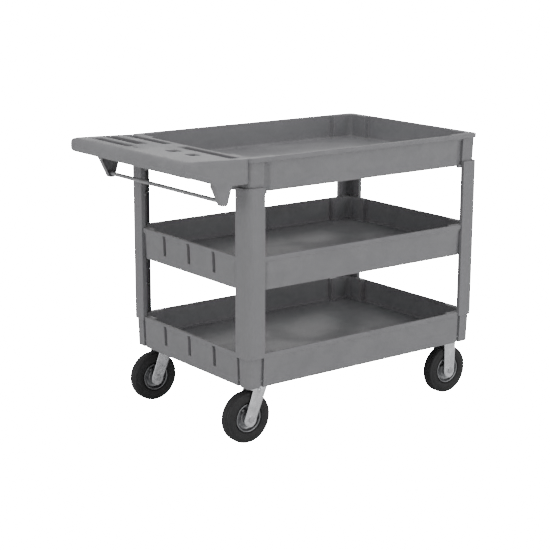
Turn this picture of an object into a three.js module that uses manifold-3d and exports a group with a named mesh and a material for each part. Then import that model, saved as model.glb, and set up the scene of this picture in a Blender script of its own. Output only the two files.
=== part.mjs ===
// Rolling utility cart: three moulded trays on four corner legs, a handle deck moulded with the
// top tray, two swivel casters under the handle end and two rigid casters under the other end.
// Millimetres, +Z up, +X away from the handle, origin on the floor under the middle of the cart.
import * as THREE from 'three';
import { mergeVertices } from 'three/addons/utils/BufferGeometryUtils.js';
import Module from 'manifold-3d';

// ---- Driving dimensions -------------------------------------------------------------------
const trayLength = 880; // shelf walls, outside, at their lower edge
const trayWidth = 600;
const trayCornerRadius = 13;
const fieldCornerRadius = 24;
const trayWall = 5;
const trayDraft = 3.5; // how far a wall leans out over its height
const shelfDepth = 98; // middle shelf: rim to lower edge of the wall
const bottomShelfDepth = 102;
const topTrayDepth = 99;
const openHeight = 188; // clear height between one rim and the next wall
const skirtBelowMount = 16; // the bottom shelf's wall hangs this far below the mounting faces
const floorAboveMount = 8; // bottom shelf's floor above the casters' mounting faces
const floorAboveEdge = 20; // the other trays' floors above their walls' lower edges
const floorThickness = 5;
const fieldRise = 1.6; // raised middle of a tray floor
const gutterWidth = 30; // lower channel round the raised field
const rimHeight = 14;
const shelfRimProud = 1.5; // rim beyond the drafted wall, lower shelves
const topRimProud = 6.1; // rim beyond the drafted wall, top tray

const legProud = 9.6; // leg face beyond the wall's lower edge
const legArm = 62;
const legDepth = 14;
const legSkin = 4;
const legFootBelowRim = 12; // the leg stands on the bottom shelf's corner pads
const legTopOverlap = 13; // the leg reaches up behind the top tray's lower edge
const legRibCount = 6;

const seatBack = 12.6; // corner seat left behind a leg
const skirtSeatBack = 4; // wall left behind a recess below the floor
const seatMargin = 13.6; // seat beyond the recess beside a leg
const cornerReliefWidth = 24; // swept recess in the wall beside each corner
const cornerReliefDepth = 7;
const padGrooveWidth = 11; // groove beside each corner pad of the bottom shelf
const grooveWidth = 13; // pressed grooves in the handle-end walls
const grooveDepth = 12;
const groovePitch = 131;
const grooveCount = 3;
const grooveBackWall = 4;
const grooveAboveFloor = 8.5;
const grooveBelowRim = 8.5;
const ribThickness = 4;
const ribDepth = 9;
const longRibs = 3;
const crossRibs = 5;
const padMargin = 6; // pad over a caster, beyond its plate

const handleOverhang = 224; // tray end wall to the outer face of the handle bar
const handleProud = 7; // handle's sides beyond the tray's side walls
const handleNeck = 14; // run over which they swell out
const handleRise = 8; // bar's top above the tray rim
const barHeight = 45;
const barDepth = 40;
const handleCornerRadius = 13;
const deckThickness = 4.5;
const skirtThickness = 5;
const rodOverhang = 87; // tray end wall to the brace rod
const bracketHalfTip = 13.5;
const bracketTipBelowRod = 12;
const bracketTipRound = 9;
const bracketSkin = 2; // left outside the rod's end
const bracketInnerRun = 27; // rod to where the bracket's inner edge meets the skirt
const bracketShoulderRun = 36.5; // rod to the end of its outer straight edge
const bracketShoulderRise = 56;
const bracketFilletRun = 28;
const bracketFilletRise = 20;
const skirtAboveLeg = 15;
const rodDiameter = 13;
const rodDrop = 113; // rod axis below the top tray's rim
const rodCapDiameter = 20;
const rodCapLength = 7;
const troughDepth = 22;
const shallowTrough = 14;
const bottleWellDepth = 34;
const troughWall = 3;

const wheelDiameter = 156;
const casterStack = 36; // mounting face above the top of the wheel
const tyreWidth = 42;
const tyreSeatHalf = 13; // half widths of the tyre from its seat out to its tread
const tyreShoulderHalf = 20.3;
const tyreTreadHalf = 16;
const tyreCrownHalf = 9;
const tyreWallDrop = 20; // how far below the tread the tyre is widest, and where it turns in
const tyreShoulderDrop = 9;
const tyreTreadDrop = 2.5;
const tyreSection = 34; // rubber between the rim's seat and the tread
const rimFlangeDepth = 6; // rim seat down to the dish
const rimFlangeHalf = 17;
const rimDiscThickness = 12;
const hubDiameter = 34;
const hubLength = 43;
const bearingDiameter = 26;
const axleDiameter = 10;
const axleNutAcross = 17;
const axleHeadHeight = 6;
const axleEnd = 7; // bolt beyond the fork leg on the nut's side
const plateMargin = 1; // caster plate clear of the corner seat
const swivelSetIn = 8; // swivel casters sit this much further in than the rigid ones
const casterTrail = 37;
const forkInside = 49;
const forkSheet = 3.2;
const forkTopWidth = 48;
const forkTipWidth = 44;
const plateLength = 84;
const plateWidth = 76;
const plateThickness = 4.5;
const plateCornerRadius = 8;
const raceDiameter = 64;
const raceHeight = 11;
const raceChamfer = 4;
const raceBoreClear = 3;
const kingpinDiameter = 14;
const pinHeadHeight = 5;
const pinHeadProud = 5;
const boltDiameter = 8;
const boltHeadAcross = 13;
const boltHeadHeight = 5.3;
const boltBite = 6; // how far a caster bolt enters the shelf
const boltSpacingX = 64;
const boltSpacingY = 54;
const boltClearance = 0.7;

const gap = 0.3; // clearance between touching pieces
const wheelFacets = 24;
const roundFacets = 12;
const holeFacets = 8;
const cornerFacets = 4;

// ---- Levels and planes that follow from them ----------------------------------------------
const casterHeight = wheelDiameter + casterStack;
const bottomEdge = casterHeight - skirtBelowMount;
const bottomRim = bottomEdge + bottomShelfDepth;
const middleEdge = bottomRim + openHeight;
const middleRim = middleEdge + shelfDepth;
const topEdge = middleRim + openHeight;
const topRim = topEdge + topTrayDepth;
const halfLength = trayLength / 2;
const halfWidth = trayWidth / 2;
const legFoot = bottomRim - legFootBelowRim;
const legTop = topEdge + legTopOverlap;
const seatDepth = legDepth - legProud + seatBack;
const seatArm = legArm - legProud + cornerReliefWidth + seatMargin;
const rodLevel = topRim - rodDrop;
const rodReach = halfLength + rodOverhang;
const handleReach = halfLength + handleOverhang;
const handleHalfWidth = halfWidth + handleProud;
const wheelRadius = wheelDiameter / 2;
const skirtSeatDepth = cornerReliefDepth + skirtSeatBack;
const casterInset = skirtSeatDepth + plateMargin + plateLength / 2;
const casterSideInset = skirtSeatDepth + plateMargin + plateWidth / 2;
const pinX = halfLength - casterInset;
const pinY = halfWidth - casterSideInset;
// The cart's middle lies between the handle bar and whatever reaches furthest the other way.
const frontReach = Math.max(halfLength + legProud, pinX + wheelRadius);
const shelfCentreX = (handleReach - frontReach) / 2;
const epsilon = 1; // how far a cutting tool runs past the face it cuts
const bottomForm = {
  edge: bottomEdge,
  rim: bottomRim,
  floor: casterHeight + floorAboveMount,
  rimProud: shelfRimProud,
};
const middleForm = {
  edge: middleEdge,
  rim: middleRim,
  floor: middleEdge + floorAboveEdge,
  rimProud: shelfRimProud,
};
const topForm = { edge: topEdge, rim: topRim, floor: topEdge + floorAboveEdge, rimProud: topRimProud };

// ---- Materials ----------------------------------------------------------------------------
const trayGrey = { color: 0x838387, roughness: 0.62, metalness: 0 };
const legGrey = { color: 0x828286, roughness: 0.6, metalness: 0 };
const zinc = { color: 0xc9ccd0, roughness: 0.34, metalness: 1 };
const wheelSteel = { color: 0x8f9194, roughness: 0.42, metalness: 1 };
const rubber = { color: 0x262628, roughness: 0.78, metalness: 0 };
const boltSteel = { color: 0xb4b6b8, roughness: 0.4, metalness: 1 };
const capBlack = { color: 0x2b2b2d, roughness: 0.7, metalness: 0 };

// ---- Solid helpers ------------------------------------------------------------------------
const wasm = await Module();
wasm.setup();

function solid(geometry) {
  const bare = geometry.clone();
  bare.deleteAttribute('normal');
  bare.deleteAttribute('uv');
  const merged = mergeVertices(bare, 1e-4);
  return new wasm.Manifold(
    new wasm.Mesh({
      numProp: 3,
      vertProperties: new Float32Array(merged.attributes.position.array),
      triVerts: new Uint32Array(merged.index.array),
    }),
  );
}

function geometryOf(manifold) {
  const data = manifold.getMesh();
  const geometry = new THREE.BufferGeometry();
  geometry.setAttribute('position', new THREE.BufferAttribute(data.vertProperties, 3));
  geometry.setIndex(new THREE.BufferAttribute(data.triVerts, 1));
  geometry.computeVertexNormals();
  return geometry;
}

function joined(first, ...others) {
  return others.reduce((whole, next) => whole.add(next), first);
}

function cut(body, ...tools) {
  return tools.reduce((whole, tool) => whole.subtract(tool), body);
}

function block(x0, x1, y0, y1, z0, z1) {
  const geometry = new THREE.BoxGeometry(x1 - x0, y1 - y0, z1 - z0);
  geometry.translate((x0 + x1) / 2, (y0 + y1) / 2, (z0 + z1) / 2);
  return solid(geometry);
}

function roundedRectangle(halfX, halfY, radius) {
  const shape = new THREE.Shape();
  shape.absarc(halfX - radius, halfY - radius, radius, 0, Math.PI / 2);
  shape.absarc(-halfX + radius, halfY - radius, radius, Math.PI / 2, Math.PI);
  shape.absarc(-halfX + radius, -halfY + radius, radius, Math.PI, Math.PI * 1.5);
  shape.absarc(halfX - radius, -halfY + radius, radius, Math.PI * 1.5, Math.PI * 2);
  shape.closePath();
  return shape;
}

function polygon(points) {
  return new THREE.Shape(points.map(([x, y]) => new THREE.Vector2(x, y)));
}

// A plan outline raised from z0 to z1; with a draft, its upper edge spreads by that much.
function upright(shape, z0, z1, draft = 0) {
  const geometry = new THREE.ExtrudeGeometry(shape, {
    depth: z1 - z0,
    bevelEnabled: false,
    curveSegments: cornerFacets,
  });
  geometry.translate(0, 0, z0);
  const position = geometry.attributes.position;
  for (let i = 0; i < position.count; i += 1) {
    const lean = (draft * (position.getZ(i) - z0)) / (z1 - z0);
    position.setX(i, position.getX(i) + Math.sign(position.getX(i)) * lean);
    position.setY(i, position.getY(i) + Math.sign(position.getY(i)) * lean);
  }
  return solid(geometry);
}

// A side outline in X and Z, given its thickness from y0 to y1.
function sideways(shape, y0, y1, curveSegments = cornerFacets) {
  const geometry = new THREE.ExtrudeGeometry(shape, {
    depth: y1 - y0,
    bevelEnabled: false,
    curveSegments,
  });
  geometry.rotateX(Math.PI / 2);
  geometry.translate(0, y1, 0);
  return solid(geometry);
}

// A round piece along Z or Y; facets turned so that a flat faces down when it lies along Y.
function rod(radius, from, to, facets = roundFacets) {
  const geometry = new THREE.CylinderGeometry(radius, radius, to - from, facets);
  geometry.rotateX(Math.PI / 2);
  geometry.translate(0, 0, (from + to) / 2);
  return solid(geometry);
}

function rodAlongY(radius, from, to, x, z, facets = roundFacets) {
  const geometry = new THREE.CylinderGeometry(radius, radius, to - from, facets);
  geometry.rotateY(Math.PI / facets);
  geometry.translate(x, (from + to) / 2, z);
  return solid(geometry);
}

function ringGeometry(profile, facets) {
  const closed = [...profile, profile[0]];
  const points = closed.map(([radius, height]) => new THREE.Vector2(radius, height));
  return new THREE.LatheGeometry(points, facets, Math.PI / facets);
}

const cart = new THREE.Group();
cart.name = 'rolling_utility_cart';
const shelves = new THREE.Group();
shelves.position.x = shelfCentreX;
cart.add(shelves);

function piece(name, shape, look, parent = shelves) {
  const geometry = shape.isBufferGeometry ? shape : geometryOf(shape);
  const mesh = new THREE.Mesh(geometry, new THREE.MeshStandardMaterial(look));
  mesh.name = name;
  parent.add(mesh);
  return mesh;
}

const corners = [
  { name: 'rear_right', sx: -1, sy: -1 },
  { name: 'rear_left', sx: -1, sy: 1 },
  { name: 'front_right', sx: 1, sy: -1 },
  { name: 'front_left', sx: 1, sy: 1 },
];

// ---- Corner legs --------------------------------------------------------------------------
// An L in plan: its outer faces stand off the walls, its arms run back along both sides.
function cornerPlan({ sx, sy }, proud, arm, depth, radius) {
  const x = halfLength + proud;
  const y = halfWidth + proud;
  const outline = [];
  for (let i = 0; i <= cornerFacets; i += 1) {
    const angle = (Math.PI / 2) * (i / cornerFacets);
    outline.push([x - radius + radius * Math.cos(angle), y - radius + radius * Math.sin(angle)]);
  }
  outline.push([x - arm, y], [x - arm, y - depth], [x - depth, y - depth], [x - depth, y - arm]);
  outline.push([x, y - arm]);
  return polygon(outline.map(([px, py]) => [sx * px, sy * py]));
}

function legSolid(corner, grow, z0, z1) {
  const shape = cornerPlan(
    corner,
    legProud + grow,
    legArm + 2 * grow,
    legDepth + 2 * grow,
    trayCornerRadius + legProud,
  );
  return upright(shape, z0, z1);
}

function makeLeg(corner) {
  const body = legSolid(corner, 0, legFoot, legTop);
  const hollow = cornerPlan(
    corner,
    legProud - legSkin,
    legArm - 2 * legSkin,
    legDepth,
    trayCornerRadius + legProud - legSkin,
  );
  const bays = [];
  const bayHeight = (legTop - legFoot - legSkin) / (legRibCount - 1);
  for (let i = 0; i < legRibCount - 1; i += 1) {
    const foot = legFoot + legSkin + i * bayHeight;
    bays.push(upright(hollow, foot, foot + bayHeight - legSkin));
  }
  return cut(body, ...bays);
}

corners.forEach((corner) => piece(`leg_${corner.name}`, makeLeg(corner), legGrey));

// ---- Trays --------------------------------------------------------------------------------
function wallLean(form, from, to) {
  return (trayDraft * (to - from)) / (form.rim - form.edge);
}

// The outside of a tray, its hollow and its floor.
function trayShell(form) {
  const { edge, rim, floor, rimProud } = form;
  const bandMiddle = rim - rimHeight / 2;
  const outer = upright(
    roundedRectangle(halfLength, halfWidth, trayCornerRadius),
    edge,
    bandMiddle,
    wallLean(form, edge, bandMiddle),
  );
  const spread = trayDraft + rimProud;
  const band = upright(
    roundedRectangle(halfLength + spread, halfWidth + spread, trayCornerRadius + spread),
    rim - rimHeight,
    rim,
  );
  const inside = roundedRectangle(
    halfLength - trayWall,
    halfWidth - trayWall,
    trayCornerRadius - trayWall,
  );
  const hollow = upright(inside, floor, rim + epsilon, wallLean(form, floor, rim));
  const under = upright(inside, edge - epsilon, floor - floorThickness);
  return cut(joined(outer, band), hollow, under);
}

// The raised field lies inside a lower channel that runs round the tray.
function raisedField({ floor }) {
  const field = roundedRectangle(
    halfLength - trayWall - gutterWidth,
    halfWidth - trayWall - gutterWidth,
    fieldCornerRadius,
  );
  return upright(field, floor - floorThickness / 2, floor + fieldRise);
}

function floorRibs({ floor }, clearX) {
  const top = floor - floorThickness / 2;
  const foot = floor - floorThickness - ribDepth;
  const reachX = halfLength - Math.max(clearX, trayWall / 2);
  const reachY = halfWidth - trayWall / 2;
  const half = ribThickness / 2;
  const ribs = [];
  for (let i = 0; i < longRibs; i += 1) {
    const y = ((i + 0.5 - longRibs / 2) * trayWidth) / (longRibs + 1);
    ribs.push(block(-reachX, reachX, y - half, y + half, foot, top));
  }
  for (let i = 0; i < crossRibs; i += 1) {
    const x = ((i + 0.5 - crossRibs / 2) * 2 * reachX) / (crossRibs - 1);
    const onWall = clearX === 0 && (i === 0 || i === crossRibs - 1);
    if (!onWall) {
      ribs.push(block(x - half, x + half, -reachY, reachY, foot, top));
    }
  }
  return ribs;
}

// Thick L-shaped seats in the four corners, which the legs are screwed to.
function cornerSeat(corner, { edge, rim, floor }) {
  const buried = trayWall / 2;
  const plan = (depth) => cornerPlan(corner, -buried, seatArm, depth - buried, trayCornerRadius - buried);
  const floorUnder = floor - floorThickness;
  const lower = upright(plan(skirtSeatDepth), edge, floorUnder + epsilon);
  return joined(upright(plan(seatDepth), floorUnder, rim), lower);
}

// A recess beside the leg: deepest at the leg and swept out to the wall's face.
function cornerRelief(corner, { edge, rim }) {
  return notchPair(corner, sweptNotch(), edge - epsilon, rim - rimHeight);
}

// On the bottom shelf it is a plain groove between the corner pad and the wall, under the leg.
function padGroove(corner, { edge }) {
  const start = legArm - legProud - padGrooveWidth;
  const outline = [
    [start, 0],
    [start, cornerReliefDepth],
    [start + padGrooveWidth, cornerReliefDepth],
    [start + padGrooveWidth, 0],
  ];
  return notchPair(corner, outline, edge - epsilon, legFoot);
}

// The same notch in both walls of a corner; its points are (run from the corner, depth).
function notchPair({ sx, sy }, outline, z0, z1) {
  const proud = trayDraft + epsilon;
  const out = (depth) => (depth > 0 ? -depth : proud);
  const along = outline.map(([run, depth]) => [sx * (halfLength - run), sy * (halfWidth + out(depth))]);
  const across = outline.map(([run, depth]) => [sx * (halfLength + out(depth)), sy * (halfWidth - run)]);
  return [upright(polygon(along), z0, z1), upright(polygon(across), z0, z1)];
}

function sweptNotch() {
  const steps = 2;
  const start = legArm - legProud;
  const outline = [[start, 0]];
  for (let i = 0; i <= steps; i += 1) {
    const share = i / steps;
    const depth = cornerReliefDepth * (1 - share * share);
    outline.push([start + cornerReliefWidth * share, Math.max(depth, 1e-3)]);
  }
  outline.push([start + cornerReliefWidth, 0]);
  return outline;
}

// Pressed grooves in the handle-end wall, each with its own thickening behind it.
function grooveBacks({ edge, rim }) {
  const backs = [];
  for (let i = 0; i < grooveCount; i += 1) {
    const y = (i - (grooveCount - 1) / 2) * groovePitch;
    const half = grooveWidth / 2 + grooveBackWall;
    const outer = -halfLength + trayWall / 2;
    const inner = -halfLength + grooveDepth + grooveBackWall;
    backs.push(block(outer, inner, y - half, y + half, edge, rim - rimHeight / 2));
  }
  return backs;
}

function grooveCuts({ floor, rim }) {
  const cuts = [];
  for (let i = 0; i < grooveCount; i += 1) {
    const y = (i - (grooveCount - 1) / 2) * groovePitch;
    const outer = -halfLength - trayDraft - shelfRimProud - epsilon;
    const inner = -halfLength + grooveDepth;
    const half = grooveWidth / 2;
    const foot = floor + grooveAboveFloor;
    cuts.push(block(outer, inner, y - half, y + half, foot, rim - grooveBelowRim));
  }
  return cuts;
}

function makeShelf(form, relief, legFrom, legTo) {
  let body = joined(trayShell(form), raisedField(form));
  corners.forEach((corner) => {
    body = joined(body, cornerSeat(corner, form));
  });
  corners.forEach((corner) => {
    body = cut(body, ...relief(corner, form), legSolid(corner, gap, legFrom, legTo));
  });
  return body;
}

const middle = joined(
  makeShelf(middleForm, cornerRelief, middleEdge - epsilon, middleRim + epsilon),
  ...grooveBacks(middleForm),
  ...floorRibs(middleForm, 0),
);
piece('middle_shelf', cut(middle, ...grooveCuts(middleForm)), trayGrey);

// ---- Caster places ------------------------------------------------------------------------
const casterPlaces = corners.map((corner) => ({
  name: corner.name,
  x: corner.sx * (corner.sx < 0 ? pinX - swivelSetIn : pinX),
  y: corner.sy * pinY,
  swivels: corner.sx < 0,
}));

function boltPlaces(place) {
  const places = [];
  [-1, 1].forEach((bx) => {
    [-1, 1].forEach((by) => {
      places.push([place.x + (bx * boltSpacingX) / 2, place.y + (by * boltSpacingY) / 2]);
    });
  });
  return places;
}

// The bottom shelf has thick pads over the casters, drilled from below for their bolts.
function casterPad({ x, y }) {
  const halfX = plateLength / 2 + padMargin;
  const halfY = Math.min(plateWidth / 2 + padMargin, casterSideInset - trayWall / 2);
  const inward = y - Math.sign(y) * (plateWidth / 2 + padMargin);
  const outward = y + Math.sign(y) * halfY;
  const endFace = Math.sign(x) * Math.min(Math.abs(x) + halfX, halfLength - trayWall / 2);
  const innerFace = x - Math.sign(x) * halfX;
  return block(
    Math.min(innerFace, endFace),
    Math.max(innerFace, endFace),
    Math.min(inward, outward),
    Math.max(inward, outward),
    casterHeight,
    bottomForm.floor - floorThickness / 2,
  );
}

const boltHoleRadius = boltDiameter / 2 + boltClearance;
const boltHoles = casterPlaces.flatMap(boltPlaces).map(([x, y]) => {
  const end = casterHeight + boltBite + gap;
  return rod(boltHoleRadius, casterHeight - epsilon, end, holeFacets).translate([x, y, 0]);
});

const bottomRibClear = casterInset + swivelSetIn + plateLength / 2 + padMargin;
const bottom = joined(
  makeShelf(bottomForm, padGroove, legFoot - gap, bottomRim + epsilon),
  ...grooveBacks(bottomForm),
  ...floorRibs(bottomForm, bottomRibClear),
  ...casterPlaces.map(casterPad),
);
piece('bottom_shelf', cut(bottom, ...grooveCuts(bottomForm), ...boltHoles), trayGrey);

// ---- Top tray with its handle deck --------------------------------------------------------
const deckRoot = -halfLength + trayWall / 2;
const deckFoot = middleRim; // below everything that hangs from the deck
const barTop = topRim + handleRise;
const barFoot = barTop - barHeight;
const nose = barHeight / 2;

function deckHeight(x) {
  const share = (-halfLength - x) / (handleReach - nose - halfLength);
  return topRim + handleRise * Math.min(1, Math.max(0, share));
}

// Side view of the handle: deck, rounded bar, skirt and the bracket that holds the rod.
function handleSide() {
  const shape = new THREE.Shape();
  const skirtFoot = legTop + skirtAboveLeg;
  const tipFoot = rodLevel - bracketTipBelowRod;
  const tipFlat = bracketHalfTip - bracketTipRound;
  const tipSide = tipFoot + bracketTipRound;
  const shoulder = tipFoot + bracketShoulderRise;
  shape.moveTo(deckRoot, skirtFoot);
  shape.lineTo(-rodReach + bracketInnerRun, skirtFoot);
  shape.lineTo(-rodReach + bracketHalfTip, tipSide);
  shape.quadraticCurveTo(-rodReach + bracketHalfTip, tipFoot, -rodReach + tipFlat, tipFoot);
  shape.lineTo(-rodReach - tipFlat, tipFoot);
  shape.quadraticCurveTo(-rodReach - bracketHalfTip, tipFoot, -rodReach - bracketHalfTip, tipSide);
  shape.lineTo(-rodReach - bracketShoulderRun, shoulder);
  shape.quadraticCurveTo(
    -rodReach - bracketShoulderRun - bracketTipRound / 2,
    shoulder + bracketFilletRise - bracketTipRound / 2,
    -rodReach - bracketShoulderRun - bracketFilletRun,
    shoulder + bracketFilletRise,
  );
  shape.lineTo(-handleReach + nose, barFoot);
  shape.absarc(-handleReach + nose, barFoot + nose, nose, -Math.PI / 2, -Math.PI * 1.5, true);
  shape.lineTo(deckRoot, deckHeight(deckRoot));
  shape.closePath();
  return shape;
}

function handlePlan(inset) {
  const reach = handleReach - inset;
  const half = handleHalfWidth - inset;
  const root = halfWidth - trayWall / 2 - inset;
  const radius = handleCornerRadius - inset;
  const shape = new THREE.Shape();
  shape.moveTo(deckRoot, -root);
  shape.lineTo(deckRoot, root);
  shape.quadraticCurveTo(-halfLength - handleNeck / 2, half, -halfLength - handleNeck, half);
  shape.lineTo(-reach + radius, half);
  shape.absarc(-reach + radius, half - radius, radius, Math.PI / 2, Math.PI, false);
  shape.absarc(-reach + radius, -half + radius, radius, Math.PI, Math.PI * 1.5, false);
  shape.lineTo(-halfLength - handleNeck, -half);
  shape.quadraticCurveTo(-halfLength - handleNeck / 2, -half, deckRoot, -root);
  return shape;
}

function handleHollow() {
  const inner = -halfLength - epsilon;
  const outline = polygon([
    [inner, deckFoot],
    [inner, topRim - deckThickness],
    [-handleReach + barDepth, barTop - deckThickness],
    [-handleReach + barDepth, deckFoot],
  ]);
  const reach = handleHalfWidth + epsilon;
  return sideways(outline, -reach, reach).intersect(upright(handlePlan(skirtThickness), deckFoot, barTop));
}

// Tool troughs sunk in the deck: from and to run out from the tray's end wall; side is +1 for
// the left half; each starts past the cart's middle line and stops short of the deck's side.
const troughs = [
  { from: 12, to: 46, side: 1, start: 62, stop: handleHalfWidth - 27, depth: troughDepth },
  { from: 12, to: 46, side: -1, start: 10, stop: handleHalfWidth - 32, depth: troughDepth },
  { from: 78, to: 118, side: 1, start: 92, stop: handleHalfWidth - 22, depth: troughDepth },
  { from: 142, to: 174, side: 1, start: 56, stop: handleHalfWidth - 45, depth: shallowTrough },
  { from: 84, to: 122, side: -1, start: 60, stop: 98, depth: bottleWellDepth },
  { from: 84, to: 116, side: -1, start: 152, stop: 190, depth: bottleWellDepth },
];

function troughBlock({ from, to, side, start, stop, depth }, grow, rise) {
  const x1 = -halfLength - from;
  const x0 = -halfLength - to;
  const y0 = Math.min(side * start, side * stop);
  const y1 = Math.max(side * start, side * stop);
  const deck = deckHeight((x0 + x1) / 2);
  return block(x0 - grow, x1 + grow, y0 - grow, y1 + grow, deck - depth - grow, deck + rise);
}

function makeHandle() {
  const reach = handleHalfWidth + epsilon;
  const plan = upright(handlePlan(0), deckFoot, barTop + epsilon);
  const outer = sideways(handleSide(), -reach, reach, 3).intersect(plan);
  let body = cut(outer, handleHollow());
  troughs.forEach((trough) => {
    body = joined(body, troughBlock(trough, troughWall, -deckThickness / 2));
  });
  troughs.forEach((trough) => {
    body = cut(body, troughBlock(trough, 0, handleRise));
  });
  const bore = rodDiameter / 2 + gap;
  const blind = handleHalfWidth - bracketSkin;
  return cut(body, rodAlongY(bore, -blind, blind, -rodReach, rodLevel));
}

const topBody = makeShelf(topForm, cornerRelief, topEdge - epsilon, legTop + gap);
const trayHollow = upright(
  roundedRectangle(halfLength - trayWall, halfWidth - trayWall, trayCornerRadius - trayWall),
  topForm.floor + fieldRise + gap,
  barTop + epsilon,
  trayDraft,
);
const handle = cut(makeHandle(), trayHollow);
piece('top_tray', joined(topBody, handle, ...floorRibs(topForm, 0)), trayGrey);

// ---- Brace rod between the brackets -------------------------------------------------------
const rodHalfLength = handleHalfWidth - bracketSkin - gap;
const brace = rodAlongY(rodDiameter / 2, -rodHalfLength, rodHalfLength, -rodReach, rodLevel);
piece('brace_rod', brace, zinc);

[-1, 1].forEach((side) => {
  const inner = handleHalfWidth - skirtThickness - gap;
  const from = side > 0 ? inner - rodCapLength : -inner;
  const to = from + rodCapLength;
  const cap = rodAlongY(rodCapDiameter / 2, from, to, -rodReach, rodLevel);
  const boreRadius = rodDiameter / 2 + gap;
  const bore = rodAlongY(boreRadius, from - epsilon, to + epsilon, -rodReach, rodLevel);
  piece(side > 0 ? 'rod_cap_left' : 'rod_cap_right', cap.subtract(bore), capBlack);
});

// ---- Casters ------------------------------------------------------------------------------
// Each is built round its pin, whose foot is on the floor at the group's origin.
const plateFoot = casterHeight - gap - plateThickness;
const raceFoot = plateFoot - gap - raceHeight;
const crownTop = raceFoot - gap;
const crownFoot = crownTop - forkSheet;
const pinHeadRadius = kingpinDiameter / 2 + pinHeadProud;
const axleHalf = forkInside / 2 + forkSheet + axleEnd;

function plateWithHoles() {
  const outline = roundedRectangle(plateLength / 2, plateWidth / 2, plateCornerRadius);
  const plate = upright(outline, plateFoot, plateFoot + plateThickness);
  const holes = boltPlaces({ x: 0, y: 0 }).map(([x, y]) =>
    rod(boltHoleRadius, plateFoot - epsilon, casterHeight, holeFacets).translate([x, y, 0]),
  );
  return cut(plate, ...holes);
}

// A pressed fork leg, seen from the side, tapering from the crown to the axle.
function forkLeg(topX, topZ, axleX) {
  const tip = forkTipWidth / 2;
  const lean = Math.atan2(axleX - topX, topZ - wheelRadius);
  const shape = new THREE.Shape();
  shape.moveTo(topX + forkTopWidth / 2, topZ);
  shape.lineTo(topX - forkTopWidth / 2, topZ);
  shape.absarc(axleX, wheelRadius, tip, Math.PI - lean, Math.PI * 2 - lean, false);
  shape.closePath();
  return shape;
}

function forkLegs(topX, topZ, axleX) {
  const inner = forkInside / 2;
  const leg = forkLeg(topX, topZ, axleX);
  return [-inner - forkSheet, inner].map((y) => sideways(leg, y, y + forkSheet, 6));
}

function axleHole(axleX) {
  const radius = (axleDiameter / 2 + gap) / Math.cos(Math.PI / holeFacets);
  return rodAlongY(radius, -forkInside, forkInside, axleX, wheelRadius, holeFacets);
}

function swivelFork() {
  const outline = roundedRectangle(raceDiameter / 2, forkInside / 2 + forkSheet, forkSheet);
  const crown = upright(outline, crownFoot, crownTop);
  const pinHole = rod(kingpinDiameter / 2 + 2 * gap, crownFoot - epsilon, crownTop + epsilon);
  const legs = forkLegs(0, crownTop - forkSheet / 2, -casterTrail);
  return cut(joined(crown, ...legs), pinHole, axleHole(-casterTrail));
}

function rigidFork() {
  return cut(joined(plateWithHoles(), ...forkLegs(0, plateFoot + plateThickness / 2, 0)), axleHole(0));
}

function makeRace() {
  const outer = raceDiameter / 2;
  const inner = kingpinDiameter / 2 + raceBoreClear;
  const raceTop = raceFoot + raceHeight;
  const profile = [
    [inner, raceFoot],
    [outer - raceChamfer, raceFoot],
    [outer, raceFoot + raceChamfer],
    [outer, raceTop - raceChamfer],
    [outer - raceChamfer, raceTop],
    [inner, raceTop],
  ];
  return ringGeometry(profile, roundFacets).rotateX(Math.PI / 2);
}

function makeKingpin() {
  const headTop = crownFoot - gap;
  const points = [
    [0, headTop - pinHeadHeight],
    [pinHeadRadius, headTop - pinHeadHeight],
    [pinHeadRadius, headTop],
    [kingpinDiameter / 2, headTop],
    [kingpinDiameter / 2, plateFoot - gap],
    [0, plateFoot - gap],
  ];
  const geometry = new THREE.LatheGeometry(points.map(([x, y]) => new THREE.Vector2(x, y)), roundFacets);
  return geometry.rotateX(Math.PI / 2);
}

function hexagon(across, from, to) {
  const radius = across / Math.sqrt(3);
  const geometry = new THREE.CylinderGeometry(radius, radius, to - from, 6);
  geometry.translate(0, (from + to) / 2, 0);
  return solid(geometry);
}

// The axle bolt lies along Y with its head outside one fork leg and a nut outside the other.
const headFace = forkInside / 2 + forkSheet + gap;
function makeAxle(axleX) {
  const radius = axleDiameter / 2;
  const shank = new THREE.CylinderGeometry(radius, radius, headFace + axleHalf, roundFacets);
  shank.translate(0, (axleHalf - headFace) / 2, 0);
  const head = hexagon(axleNutAcross, -headFace - axleHeadHeight, -headFace);
  return solid(shank).add(head).translate([axleX, 0, wheelRadius]);
}

function makeAxleNut(axleX) {
  const radius = axleDiameter / 2 + gap;
  const bore = new THREE.CylinderGeometry(radius, radius, 4 * axleHeadHeight, roundFacets);
  const nut = hexagon(axleNutAcross, headFace, headFace + axleHeadHeight);
  return nut.subtract(solid(bore.translate(0, headFace, 0))).translate([axleX, 0, wheelRadius]);
}

// Wheel rings turn about Y; their flats are set so that one lies on the floor.
function wheelRing(profile, axleX, facets) {
  const stretch = 1 / Math.cos(Math.PI / facets);
  const geometry = ringGeometry(profile.map(([radius, y]) => [radius * stretch, y]), facets);
  return geometry.translate(axleX, 0, wheelRadius);
}

const rimSeatRadius = wheelRadius - tyreSection;

function makeTyre(axleX) {
  const treadToSeat = [
    [wheelRadius, tyreCrownHalf],
    [wheelRadius - tyreTreadDrop, tyreTreadHalf],
    [wheelRadius - tyreShoulderDrop, tyreShoulderHalf],
    [wheelRadius - tyreWallDrop, tyreWidth / 2],
    [rimSeatRadius + gap, tyreSeatHalf],
  ];
  const seatToTread = treadToSeat.map(([radius, y]) => [radius, -y]).reverse();
  return wheelRing([...seatToTread, ...treadToSeat], axleX, wheelFacets);
}

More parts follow.
